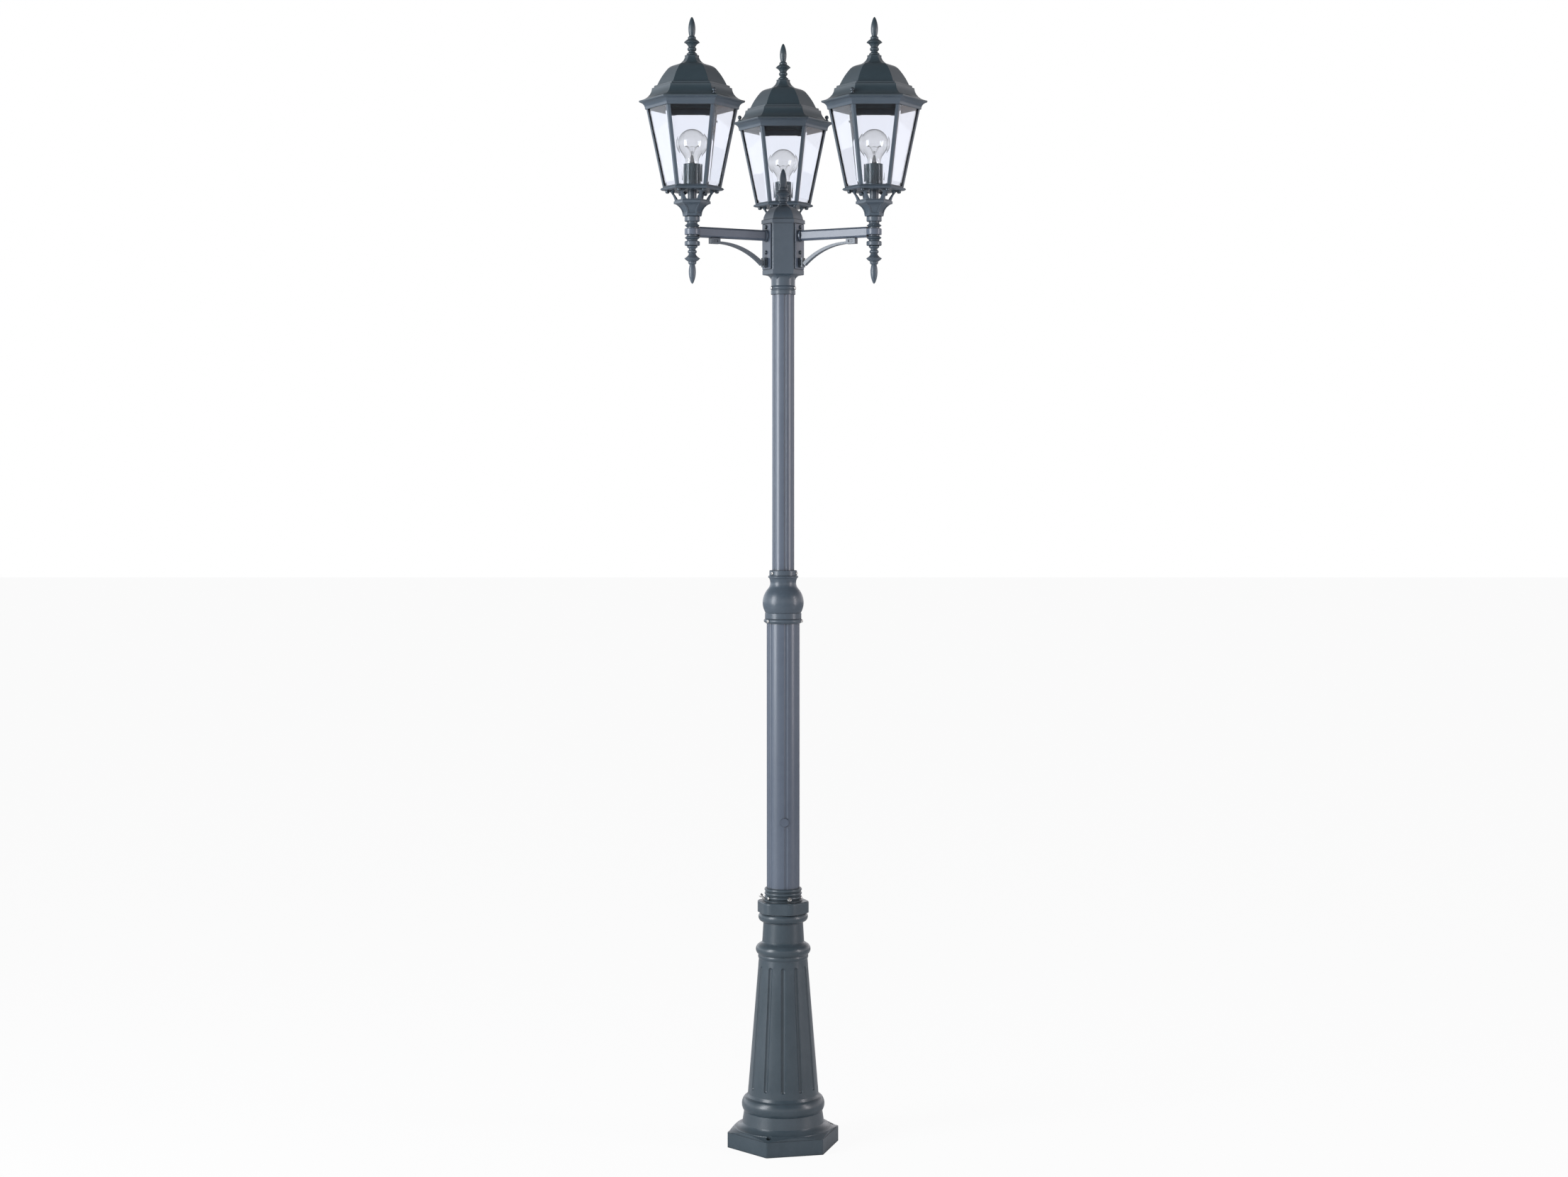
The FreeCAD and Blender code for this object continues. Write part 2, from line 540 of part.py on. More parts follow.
def base_collar():
    """Beaded collar that closes the gap round the lower tube."""
    bore = LOWER_TUBE_RADIUS + SLIP
    points = [(bore, BASE_TOP), (CLAMP_RADIUS + 2, BASE_TOP), (CLAMP_RADIUS + 2, BASE_TOP + 2)]
    points.append((CLAMP_RADIUS - 1, BASE_TOP + CLAMP_FOOT_HEIGHT))
    for bead in range(CLAMP_BEADS):
        foot = BASE_TOP + CLAMP_FOOT_HEIGHT + bead * CLAMP_BEAD_HEIGHT
        points.append((CLAMP_RADIUS - 1.6, foot + 0.8))
        points.append((CLAMP_RADIUS + 1, foot + CLAMP_BEAD_HEIGHT / 2, CLAMP_RADIUS - 1.6,
                       foot + CLAMP_BEAD_HEIGHT - 0.4))
    points.append((bore, points[-1][-1]))
    cutters = [clamp_screw_hole(angle) for angle in CLAMP_SCREW_ANGLES]
    for angle in SET_SCREW_ANGLES:
        cutters.append(set_screw_hole(angle, collar_screw_height()))
    return turned(points).cut(cutters)


def collar_screw_height():
    """Height of the collar's small set screws: the lowest bead."""
    return BASE_TOP + CLAMP_FOOT_HEIGHT + CLAMP_BEAD_HEIGHT / 2


def fluted_tube(radius, foot, top, holes=()):
    """Extruded tube with six shallow round grooves along its whole length."""
    width = 2 * radius * math.sin(math.radians(GROOVE_SPAN / 2))
    groove_radius = (width ** 2 / 4 + GROOVE_DEPTH ** 2) / (2 * GROOVE_DEPTH)
    place = FreeCAD.Vector(0, -(radius - GROOVE_DEPTH + groove_radius), foot - 1)
    groove = Part.makeCylinder(groove_radius, top - foot + 2, place)
    cutters = around(groove, GROOVE_COUNT, GROOVE_PHASE)
    cutters.append(rod(radius - TUBE_WALL, foot - 1, top + 1))
    cutters.extend(holes)
    return rod(radius, foot, top).cut(cutters)


def lower_tube():
    """Lower length of the post, with the hole for its plug."""
    hole = radial_hole(PLUG_STEM_RADIUS + SCREW_GAP, PLUG_ANGLE, PLUG_HEIGHT, LOWER_TUBE_RADIUS + 2)
    return fluted_tube(LOWER_TUBE_RADIUS, LOWER_TUBE_FOOT, LOWER_TUBE_TOP, [hole])


def tube_plug():
    """Thin round plug pressed into the side of the lower tube."""
    disc = radial_hole(PLUG_RADIUS, PLUG_ANGLE, PLUG_HEIGHT, LOWER_TUBE_RADIUS + PLUG_RISE)
    stem = radial_hole(PLUG_STEM_RADIUS, PLUG_ANGLE, PLUG_HEIGHT, LOWER_TUBE_RADIUS + PLUG_RISE / 2)
    core = rod(LOWER_TUBE_RADIUS - TUBE_WALL - 1, PLUG_HEIGHT - 30, PLUG_HEIGHT + 30)
    tube = rod(LOWER_TUBE_RADIUS, PLUG_HEIGHT - 30, PLUG_HEIGHT + 30)
    return disc.cut(tube).fuse(stem.cut(core))


def ball_coupling():
    """Turned coupling with a ball that joins the two tubes."""
    low_bore = LOWER_TUBE_RADIUS + SLIP
    high_bore = UPPER_TUBE_RADIUS + SLIP
    web_foot = LOWER_TUBE_TOP
    web_top = UPPER_TUBE_FOOT
    passage = UPPER_TUBE_RADIUS - TUBE_WALL
    ball_start = LOW_RING_RADIUS - 1
    ball_end = COUPLING_NECK_RADIUS + 5
    centre = BALL_FOOT + math.sqrt(BALL_RADIUS ** 2 - ball_start ** 2)
    shoulder = centre + math.sqrt(BALL_RADIUS ** 2 - ball_end ** 2)
    outer = [
        (LOW_RIM_RADIUS - 4, COUPLING_FOOT), (LOW_RIM_RADIUS - 3, COUPLING_FOOT + 1.5),
        (LOW_RIM_RADIUS + 0.6, COUPLING_FOOT + LOW_RIM_HEIGHT / 2, LOW_RIM_RADIUS - 2.6, LOW_RING_FOOT - 1),
        (LOW_RING_RADIUS, LOW_RING_FOOT), (LOW_RING_RADIUS, BALL_FOOT - 1),
        (ball_start, BALL_FOOT), (BALL_RADIUS, centre, ball_end, shoulder),
        (COUPLING_NECK_RADIUS - 0.4, (shoulder + THIN_BEAD_FOOT) / 2,
         THIN_BEAD_RADIUS - 2, THIN_BEAD_FOOT - 1),
        (THIN_BEAD_RADIUS, THIN_BEAD_FOOT + THIN_BEAD_HEIGHT / 2, TOP_RING_RADIUS - 0.6, TOP_RING_FOOT),
        (TOP_RING_RADIUS, TOP_RING_FOOT + 1), (TOP_RING_RADIUS, COUPLING_TOP - 1),
        (TOP_RING_RADIUS - 1, COUPLING_TOP)]
    inner = [
        (high_bore, COUPLING_TOP), (high_bore, web_top), (passage, web_top),
        (passage, web_foot), (low_bore, web_foot), (low_bore, COUPLING_FOOT)]
    cutters = []
    for angle in SET_SCREW_ANGLES:
        for height in coupling_screw_heights():
            cutters.append(set_screw_hole(angle, height))
    return turned(outer + inner).cut(cutters)


def coupling_screw_heights():
    """Heights of the coupling's set screws: in the lower rim and in the top ring."""
    return (COUPLING_FOOT + LOW_RIM_HEIGHT / 2, TOP_RING_FOOT + TOP_RING_HEIGHT / 2)


def hub_screw_height():
    """Height of the hub's set screws: in its bead."""
    return HUB_FOOT + HUB_RING_HEIGHT + HUB_BEAD_HEIGHT / 2


def small_set_screws():
    """All the small set screws of the collar, the coupling and the hub."""
    low, high = coupling_screw_heights()
    screws = []
    for angle in SET_SCREW_ANGLES:
        screws.append(radial_screw(angle, collar_screw_height(), CLAMP_RADIUS + 1.0, LOWER_TUBE_RADIUS))
        screws.append(radial_screw(angle, low, LOW_RIM_RADIUS + 0.6, LOWER_TUBE_RADIUS))
        screws.append(radial_screw(angle, high, TOP_RING_RADIUS, UPPER_TUBE_RADIUS))
    for angle in HUB_SCREW_ANGLES:
        screws.append(radial_screw(angle, hub_screw_height(), HUB_BEAD_RADIUS, UPPER_TUBE_RADIUS))
    return Part.makeCompound(screws)


def hub_body():
    """Six-sided hub with a ledge, a flare and a round socket for the upper tube."""
    bore = UPPER_TUBE_RADIUS + SLIP
    bead_foot = HUB_FOOT + HUB_RING_HEIGHT
    socket = turned([
        (0, HUB_FOOT), (HUB_RING_RADIUS - 1, HUB_FOOT), (HUB_RING_RADIUS, HUB_FOOT + 1),
        (HUB_RING_RADIUS, bead_foot - 2), (HUB_RING_RADIUS - 0.8, bead_foot - 1),
        (HUB_RING_RADIUS - 0.8, bead_foot),
        (HUB_BEAD_RADIUS, bead_foot + HUB_BEAD_HEIGHT / 2, HUB_NECK_RADIUS + 0.4, HUB_NECK_FOOT),
        (HUB_NECK_RADIUS, HUB_NECK_FOOT + 1), (HUB_NECK_RADIUS, HUB_LEDGE_FOOT), (0, HUB_LEDGE_FOOT)])
    flare = six_sided([
        (HUB_NECK_RADIUS, HUB_FLARE_FOOT),
        (HUB_NECK_RADIUS + 5, HUB_FLARE_FOOT + HUB_FLARE_HEIGHT * 0.75, HUB_CORNER - 2, HUB_LEDGE_FOOT)])
    ledge = six_sided([
        (HUB_CORNER - 2, HUB_LEDGE_FOOT), (HUB_CORNER, HUB_LEDGE_FOOT + 1), (HUB_CORNER, HUB_BODY_FOOT)])
    body = six_sided([(HUB_CORNER, HUB_BODY_FOOT), (HUB_CORNER, HUB_TOP)])
    upright = [edge for edge in body.Edges if abs(edge.tangentAt(edge.FirstParameter).z) > 0.99]
    body = body.makeChamfer(HUB_EDGE, upright)
    room_corner = HUB_CORNER - HUB_WALL / COS30
    room = six_sided([(room_corner, UPPER_TUBE_TOP + HUB_WALL), (room_corner, HUB_TOP + 1)])
    cutters = [rod(bore, HUB_FOOT - 1, UPPER_TUBE_TOP), room, bridge_shape(SCREW_GAP)]
    cutters.append(rod(UPPER_TUBE_RADIUS - TUBE_WALL, HUB_FOOT, UPPER_TUBE_TOP + HUB_WALL + 1))
    for angle in HUB_SCREW_ANGLES:
        cutters.append(set_screw_hole(angle, hub_screw_height()))
    for _, angle in LANTERNS:
        cutters.append(wire_hole(angle))
        for height in plate_screw_heights():
            cutters.append(set_screw_hole(angle, height))
    return socket.fuse([flare, ledge, body]).cut(cutters)


def wire_hole(angle):
    """Cutter for the wire hole from the hub into an arm."""
    return radial_hole(ROD_BORE, angle, ARM_Z, HUB_CORNER + PLATE_THICKNESS)


def bridge_shape(gap=0.0):
    """Flat bar across the top of the hub, front to back."""
    length = 2 * (HUB_FACE - HUB_WALL / 2 + gap)
    width = BRIDGE_WIDTH + 2 * gap
    foot = HUB_TOP - BRIDGE_THICKNESS - gap
    corner = FreeCAD.Vector(-width / 2, -length / 2, foot)
    return Part.makeBox(width, length, BRIDGE_THICKNESS + gap, corner)


def hub_bridge():
    """Bar across the hub with the stud that holds the cap and its finial."""
    return bridge_shape().fuse(rod(STUD_RADIUS, HUB_TOP - BRIDGE_THICKNESS, HUB_CAP_TOP + STUD_REACH))


def hub_cap():
    """Six-sided domed cap of the hub."""
    dome_foot = HUB_TOP + HUB_CAP_RIM
    rise = HUB_CAP_DOME_HEIGHT
    outer = six_sided([
        (HUB_CAP_CORNER, HUB_TOP), (HUB_CAP_CORNER, dome_foot - 1.5), (HUB_CAP_CORNER - 1.5, dome_foot),
        (HUB_CAP_DOME_CORNER, dome_foot),
        (HUB_CAP_DOME_CORNER * 0.83, dome_foot + rise * 0.58, HUB_CAP_TOP_CORNER, HUB_CAP_TOP)])
    inset = HUB_CAP_WALL / COS30
    inner = six_sided([
        (HUB_CAP_DOME_CORNER - inset, HUB_TOP - 1), (HUB_CAP_DOME_CORNER - inset, dome_foot),
        (HUB_CAP_DOME_CORNER * 0.83 - inset, dome_foot + rise * 0.5,
         HUB_CAP_TOP_CORNER - 2, HUB_CAP_TOP - HUB_CAP_WALL)])
    return outer.cut([inner, rod(STUD_RADIUS + SLIP, HUB_TOP, HUB_CAP_TOP + 1)])


def finial(stud_depth):
    """Turned flame finial that stands on height 0, with a blind hole for its stud."""
    h = FINIAL_HEIGHT
    body = turned([
        (0, 0), (10.2, 0), (11.4, h * 0.025, 9.2, h * 0.056), (7.2, h * 0.085), (6.9, h * 0.11),
        (9.8, h * 0.155, 7.2, h * 0.205), (10.6, h * 0.278, FINIAL_DISC - 0.4, h * 0.325),
        (FINIAL_DISC, h * 0.334, FINIAL_DISC - 0.5, h * 0.344), (12.2, h * 0.388, 8.4, h * 0.418),
        (8.8, h * 0.452, 6.8, h * 0.487), (5.6, h * 0.497),
        (7.6, h * 0.72, 3.9, h * 0.93), (1.6, h * 0.982, 0, h)])
    return body.cut(rod(STUD_RADIUS + SLIP, -1, stud_depth + SLIP))


# ---------------------------------------------------------------------------
# Arms. Each is drawn along -Y, the front, and turned to its own direction.
# ---------------------------------------------------------------------------

def plate_screw_heights():
    """Heights of the two screws of an arm's plate."""
    low = BRACE_FOOT + BRACE_FOOT_HEIGHT + PLATE_SCREW_OVER_FOOT
    return (low, HUB_TOP - PLATE_SCREW_FROM_TOP)


def arm_shape():
    """Chamfered bar with an eye at the lantern, and a boss and a plate at the hub."""
    plate = Part.makeBox(
        PLATE_WIDTH, PLATE_THICKNESS, ARM_PLATE_TOP - ARM_PLATE_FOOT,
        FreeCAD.Vector(-PLATE_WIDTH / 2, -PLATE_FACE, ARM_PLATE_FOOT))
    outer = [edge for edge in plate.Edges if edge.CenterOfMass.y < -PLATE_FACE + 0.01]
    plate = plate.makeChamfer(1.0, outer)
    half_t = ARM_THICKNESS / 2
    half_d = ARM_DEPTH / 2
    c = ARM_CHAMFER
    corners = [(-half_t + c, -half_d), (half_t - c, -half_d), (half_t, -half_d + c), (half_t, half_d - c),
               (half_t - c, half_d), (-half_t + c, half_d), (-half_t, half_d - c), (-half_t, -half_d + c)]
    start = PLATE_THICKNESS / 2 - PLATE_FACE
    ring = [FreeCAD.Vector(x, start, ARM_Z + z) for x, z in corners]
    section = Part.Face(Part.makePolygon(ring + [ring[0]]))
    bar = section.extrude(FreeCAD.Vector(0, -ARM_REACH - start, 0))
    boss = Part.makeCylinder(
        ARM_BOSS_RADIUS, PLATE_THICKNESS / 2 + ARM_BOSS_LENGTH, FreeCAD.Vector(0, start, ARM_Z),
        FreeCAD.Vector(0, -1, 0))
    lantern = FreeCAD.Vector(0, -ARM_REACH, 0)
    eye = rod(EYE_RADIUS, EYE_FOOT, EYE_TOP)
    eye = eye.makeChamfer(1.0, [edge for edge in eye.Edges if edge.Closed])
    eye.translate(lantern)
    trim_radius = SPINDLE_DISC + LIP_GAP
    trim = rod(trim_radius, EYE_FOOT - ARM_DEPTH, EYE_FOOT).fuse(
        rod(trim_radius, EYE_TOP, EYE_TOP + ARM_DEPTH))
    trim.translate(lantern)
    past = Part.makeBox(60, 60, 60, FreeCAD.Vector(-30, -ARM_REACH - 60, ARM_Z - 30))
    bore = rod(ROD_RADIUS + SLIP, EYE_FOOT - 1, EYE_TOP + 1)
    bore.translate(lantern)
    wireway = Part.makeCylinder(
        ROD_BORE, ARM_REACH - HUB_FACE + 1, FreeCAD.Vector(0, 1 - HUB_FACE, ARM_Z), FreeCAD.Vector(0, -1, 0))
    cutters = [bore, wireway]
    for height in plate_screw_heights():
        cutters.append(set_screw_hole(0, height))
    return plate.fuse([bar.cut([trim, past]), boss, eye]).cut(cutters)


def brace_shape():
    """Curved strip from a block under the arm down to a block on the hub plate."""
    top = ARM_Z - ARM_DEPTH / 2
    block_out = ARM_REACH - BRACE_BLOCK_FROM_LANTERN
    block_in = block_out - BRACE_BLOCK_LENGTH
    block_foot = top - BRACE_BLOCK_HEIGHT
    half = BRACE_WIDTH / 2
    block = Part.makeBox(
        BRACE_WIDTH, BRACE_BLOCK_LENGTH, BRACE_BLOCK_HEIGHT, FreeCAD.Vector(-half, -block_out, block_foot))
    foot = Part.makeBox(
        BRACE_WIDTH, BRACE_FOOT_LENGTH, BRACE_FOOT_HEIGHT,
        FreeCAD.Vector(-half, -PLATE_FACE - BRACE_FOOT_LENGTH, BRACE_FOOT))
    run = block_in - PLATE_FACE - BRACE_FOOT_LENGTH + 2
    drop = block_foot + BRACE_BLOCK_HEIGHT * 0.45 - (BRACE_FOOT + BRACE_FOOT_HEIGHT * 0.45)
    radius = (run ** 2 + drop ** 2) / (2 * drop)
    centre_z = block_foot + BRACE_BLOCK_HEIGHT * 0.45 - radius
    sweep = math.asin(run / radius)

    def arc_point(share, offset):
        turn = sweep * share
        reach = block_in + 1 - (radius + offset) * math.sin(turn)
        return reach, centre_z + (radius + offset) * math.cos(turn)

    upper = [arc_point(share, 0.0) for share in (0.0, 0.5, 1.0)]
    lower = [arc_point(1.0, -BRACE_ROOT_THICKNESS),
             arc_point(0.5, -(BRACE_ROOT_THICKNESS + BRACE_TIP_THICKNESS) / 2),
             arc_point(0.0, -BRACE_TIP_THICKNESS)]
    strip = outline_face([upper[0], upper[1] + upper[2], lower[0], lower[1] + lower[2]])
    strip = strip.extrude(FreeCAD.Vector(0, BRACE_WIDTH * 0.8, 0))
    strip.translate(FreeCAD.Vector(0, -BRACE_WIDTH * 0.4, 0))
    strip.rotate(FreeCAD.Vector(), FreeCAD.Vector(0, 0, 1), -90)
    behind = Part.makeBox(60, 60, 200, FreeCAD.Vector(-30, -PLATE_FACE, BRACE_FOOT - 100))
    recesses = []
    for side in (-1, 1):
        x = side * (half - BRACE_RECESS / 2) - BRACE_RECESS / 2
        place = FreeCAD.Vector(
            x, -block_out + BRACE_BLOCK_LENGTH * 0.25, block_foot + BRACE_BLOCK_HEIGHT * 0.3)
        recesses.append(Part.makeBox(
            BRACE_RECESS, BRACE_BLOCK_LENGTH * 0.5, BRACE_BLOCK_HEIGHT * 0.42, place))
        place = FreeCAD.Vector(
            x, -PLATE_FACE - BRACE_FOOT_LENGTH * 0.75, BRACE_FOOT + BRACE_FOOT_HEIGHT * 0.2)
        recesses.append(Part.makeBox(
            BRACE_RECESS, BRACE_FOOT_LENGTH * 0.4, BRACE_FOOT_HEIGHT * 0.6, place))
    return block.fuse([foot, strip.cut(behind)]).cut(recesses)


def plate_screws(angle):
    """The two round-headed screws that hold an arm's plate to the hub."""
    screws = []
    for height in plate_screw_heights():
        place = polar(PLATE_FACE, angle, height)
        outwards = polar(1, angle, 0)
        head = Part.makeCylinder(PLATE_SCREW_RADIUS, PLATE_SCREW_HEIGHT, place, outwards)
        outer = max(
            [edge for edge in head.Edges if edge.Closed], key=lambda edge: edge.CenterOfMass.dot(outwards))
        head = head.makeFillet(PLATE_SCREW_HEIGHT * 0.7, [outer])
        reach = PLATE_THICKNESS + HUB_WALL
        shank = Part.makeCylinder(SET_SHANK_RADIUS, reach, place - outwards * reach, outwards)
        screws.append(head.fuse(shank))
    return screws


# ---------------------------------------------------------------------------
# Lantern. Each is drawn on the Z axis and moved to the end of its arm.
# ---------------------------------------------------------------------------

def spindles():
    """Turned spacers above and below the arm's eye."""
    neck = SPINDLE_NECK
    disc = SPINDLE_DISC
    collar = SPINDLE_COLLAR
    h = UPPER_SPINDLE_HEIGHT
    bore = ROD_RADIUS + SLIP
    z = EYE_TOP
    upper = turned([
        (bore, z), (neck, z), (neck, z + h * 0.12), (disc - 0.6, z + h * 0.22), (disc, z + h * 0.245),
        (disc - 0.6, z + h * 0.27), (neck, z + h * 0.37), (neck - 0.6, z + h * 0.46), (neck, z + h * 0.56),
        (collar - 1.2, z + h * 0.57), (collar, z + h * 0.62), (collar, z + h * 0.94),
        (collar - 1.2, z + h), (bore, z + h)])
    h = LOWER_SPINDLE_HEIGHT
    z = EYE_FOOT
    lower = turned([
        (bore, z), (neck, z), (neck, z - h * 0.13), (disc - 0.6, z - h * 0.25), (disc, z - h * 0.28),
        (disc - 0.6, z - h * 0.31), (neck, z - h * 0.43), (neck - 0.6, z - h * 0.51), (neck, z - h * 0.59),
        (collar - 1.2, z - h * 0.6), (collar, z - h * 0.66), (collar, z - h * 0.94),
        (collar - 1.2, z - h), (bore, z - h)])
    return Part.makeCompound([upper, lower])


def lower_finial():
    """Finial that hangs under the lower spindle."""
    drop = finial(STUD_REACH)
    drop.rotate(FreeCAD.Vector(), FreeCAD.Vector(1, 0, 0), 180)
    drop.translate(FreeCAD.Vector(0, 0, EYE_FOOT - LOWER_SPINDLE_HEIGHT))
    return drop


def tie_rod():
    """Hollow threaded rod from the lower finial up to the lamp socket."""
    foot = EYE_FOOT - LOWER_SPINDLE_HEIGHT
    top = PLATE_TOP + SOCKET_FLOOR / 2
    pipe = rod(ROD_RADIUS, foot, top).cut(rod(ROD_BORE, EYE_FOOT, top + 1))
    return pipe.fuse(rod(STUD_RADIUS, foot - STUD_REACH, foot))


def basket_outline(inset):
    """Corner radii of the basket from its foot to the plate, less an inset."""
    cup = BASKET_CUP_HEIGHT
    foot = BASKET_FOOT_CORNER - inset
    band = BASKET_BAND_CORNER - inset
    cup_top = band - 4
    return [
        (foot, BASKET_FOOT), (foot + 1, BASKET_FOOT + cup * 0.2),
        (foot + 4.8, BASKET_FOOT + cup * 0.6, cup_top, BAND_FOOT - 1), (band, BAND_FOOT),
        (band, BAND_FOOT + BASKET_BAND_HEIGHT - 2), (band - 2, BASKET_CAGE_FOOT - 1),
        (band - 2, BASKET_CAGE_FOOT),
        (band + 1.2, BASKET_CAGE_FOOT + BASKET_CAGE_HEIGHT * 0.45,
         BASKET_TOP_CORNER - inset, BASKET_CAGE_FOOT + BASKET_CAGE_HEIGHT * 0.88),
        (BASKET_TOP_CORNER - inset, PLATE_FOOT)]


def basket_window():
    """Cutter for the arched window in the front facet of the basket."""
    low = (BASKET_BAND_CORNER - 2) / 2 - BASKET_RIB
    high = BASKET_TOP_CORNER / 2 - BASKET_RIB
    foot = BASKET_CAGE_FOOT + 1
    turn = foot + 4
    spring = BASKET_CAGE_FOOT + BASKET_CAGE_HEIGHT * 0.66
    top = PLATE_FOOT - 0.5
    bulge = (low + high) / 2 - 0.6
    middle = (turn + spring) / 2
    face = outline_face([
        (-low * 0.6, foot), (low * 0.6, foot), (low * 0.9, foot + 1.2, low, turn),
        (bulge, middle, high, spring), (high * 0.72, top - 1.2, 0, top),
        (-high * 0.72, top - 1.2, -high, spring), (-bulge, middle, -low, turn),
        (-low * 0.9, foot + 1.2, -low * 0.6, foot)])
    cutter = face.extrude(FreeCAD.Vector(0, BASKET_TOP_CORNER * 2, 0))
    cutter.translate(FreeCAD.Vector(0, -BASKET_TOP_CORNER * 2, 0))
    return cutter


def cup_panel():
    """Cutter for the shallow panel in the front facet of the cup."""
    low = (BASKET_FOOT_CORNER + 1) / 2 - 3.4
    high = (BASKET_BAND_CORNER - 4) / 2 - 3.4
    foot = BASKET_FOOT + BASKET_CUP_HEIGHT * 0.22
    top = BAND_FOOT - 2.5
    face = outline_face([(-low, foot), (low, foot), (low + 2.2, foot + (top - foot) * 0.6, high, top),
                         (-high, top), (-low - 2.2, foot + (top - foot) * 0.6, -low, foot)])
    cutter = face.extrude(FreeCAD.Vector(0, BASKET_BAND_CORNER * 2, 0))
    cutter.translate(FreeCAD.Vector(0, -BASKET_BAND_CORNER * 2, 0))
    return cutter.cut(six_sided(basket_outline(PANEL_RECESS / COS30)))


def basket():
    """Cup, ribs and the plate that carries the cage, in one casting."""
    shell = six_sided(basket_outline(0.0))
    inset = BASKET_WALL / COS30
    room = six_sided([
        (BASKET_BAND_CORNER - 2 - inset, BASKET_CAGE_FOOT - 1),
        (BASKET_BAND_CORNER - 2 - inset, BASKET_CAGE_FOOT + 2),
        (BASKET_TOP_CORNER - inset, PLATE_FOOT)])
    cutters = [room] + around(basket_window(), 6) + around(cup_panel(), 6)
    shell = shell.cut(cutters)
    lip = PLATE_LIP
    plate = six_sided([
        (PLATE_CORNER - lip, PLATE_FOOT), (PLATE_CORNER, PLATE_FOOT + lip * 0.6),
        (PLATE_CORNER, PLATE_TOP - lip), (PLATE_CORNER - lip * 0.7, PLATE_TOP)])
    centre = rod(BASKET_TUBE_RADIUS, BASKET_CAGE_FOOT - 2, PLATE_FOOT + 1)
    holes = [rod(ROD_RADIUS + SLIP, BASKET_FOOT - 1, PLATE_TOP + 1)]
    holes.extend(around(stud_hole(PLATE_FOOT - 1, PLATE_TOP + 1), 6))
    return shell.fuse([plate, centre]).cut(holes)


def stud_hole(foot, top):
    """Cutter for the hole of one cap nut's stud."""
    return Part.makeCylinder(NUT_STUD_RADIUS + SCREW_GAP, top - foot, polar(NUT_CORNER, 30, foot))


def cap_nuts():
    """Six domed nuts under the plate, each with its stud up into the cage's sill."""
    nuts = []
    for k in range(6):
        place = polar(NUT_CORNER, 30 + 60 * k, PLATE_FOOT)
        body = turned([(0, 0), (NUT_RADIUS, 0), (NUT_RADIUS, -NUT_HEIGHT * 0.5),
                       (NUT_RADIUS * 0.75, -NUT_HEIGHT * 0.9, 0, -NUT_HEIGHT)])
        stud = rod(NUT_STUD_RADIUS, 0, SILL_TOP - PLATE_FOOT)
        nut = body.fuse(stud)
        nut.translate(place)
        nuts.append(nut)
    return nuts


def cage_corner(height):
    """Outer corner radius of the cage between the plate and the cornice."""
    share = (height - PLATE_TOP) / CAGE_HEIGHT
    return CAGE_LOW_CORNER + (CAGE_TOP_CORNER - CAGE_LOW_CORNER) * share


def cage_tilt():
    """Angle by which a pane leans out from the upright."""
    return math.atan((CAGE_TOP_CORNER - CAGE_LOW_CORNER) * COS30 / CAGE_HEIGHT)


def cage_room(height):
    """Corner radius of the space inside the cage's posts."""
    return cage_corner(height) - POST_DEPTH / math.cos(cage_tilt()) / COS30


def facet_slab(foot, top, side_gap, depth, thickness):
    """Leaning slab behind the front facet. side_gap is from the facet's corner to the slab."""
    tilt = cage_tilt()
    inwards = FreeCAD.Vector(0, math.cos(tilt), math.sin(tilt))
    corners = []
    for height, side in ((foot, -1), (foot, 1), (top, 1), (top, -1)):
        corner = cage_corner(height)
        point = FreeCAD.Vector(side * (corner / 2 - side_gap), -corner * COS30, height)
        corners.append(point + inwards * depth)
    face = Part.Face(Part.makePolygon(corners + [corners[0]]))
    return face.extrude(inwards * thickness)


def pane_slab(gap):
    """One pane, or its pocket when a gap is given. The pocket is open at the top."""
    foot = SILL_TOP - PANE_LAP - gap
    top = ROOF_FOOT - PANE_HEADROOM
    if gap > 0:
        top = ROOF_FOOT + 5
    return facet_slab(foot, top, POST_LEG - PANE_LAP - gap, PANE_DEPTH - gap, PANE_THICKNESS + 2 * gap)


def knob_angles(arm_angle):
    """The two corners, square to the arm, that carry thumb screws."""
    return (arm_angle - 90, arm_angle + 90)


def cage_frame(arm_angle):
    """Six leaning posts between a sill and a moulded cornice."""
    step = CAGE_TOP_CORNER + CORNICE_STEP
    height = CORNICE_HEIGHT
    outer = six_sided([
        (CAGE_LOW_CORNER, PLATE_TOP), (CAGE_TOP_CORNER, CORNICE_FOOT), (step, CORNICE_FOOT),
        (step + 0.6, CORNICE_FOOT + height * 0.18),
        (step + (RIM_CORNER - step) * 0.3, CORNICE_FOOT + height * 0.66, RIM_CORNER - 1.2, ROOF_FOOT - 1.2),
        (RIM_CORNER - 0.5, ROOF_FOOT)])
    over = ROOF_FOOT + 5
    room = six_sided([(cage_room(SILL_TOP), SILL_TOP), (cage_room(over), over)])
    well = prism_six(CAGE_LOW_CORNER - SILL_WIDTH, PLATE_TOP - 1, SILL_TOP + 1)
    window = facet_slab(SILL_TOP, CORNICE_FOOT, POST_LEG, -1, POST_DEPTH + 2)
    cutters = [room, well] + around(window, 6) + around(pane_slab(PANE_GAP), 6)
    for angle in knob_angles(arm_angle):
        place = polar(RIM_CORNER - KNOB_INSET, angle, ROOF_FOOT - KNOB_REACH - 1)
        cutters.append(Part.makeCylinder(KNOB_SHANK + SCREW_GAP, KNOB_REACH + 2, place))
    stud = stud_hole(PLATE_TOP - 1, SILL_TOP)
    return outer.cut(cutters + around(stud, 6))


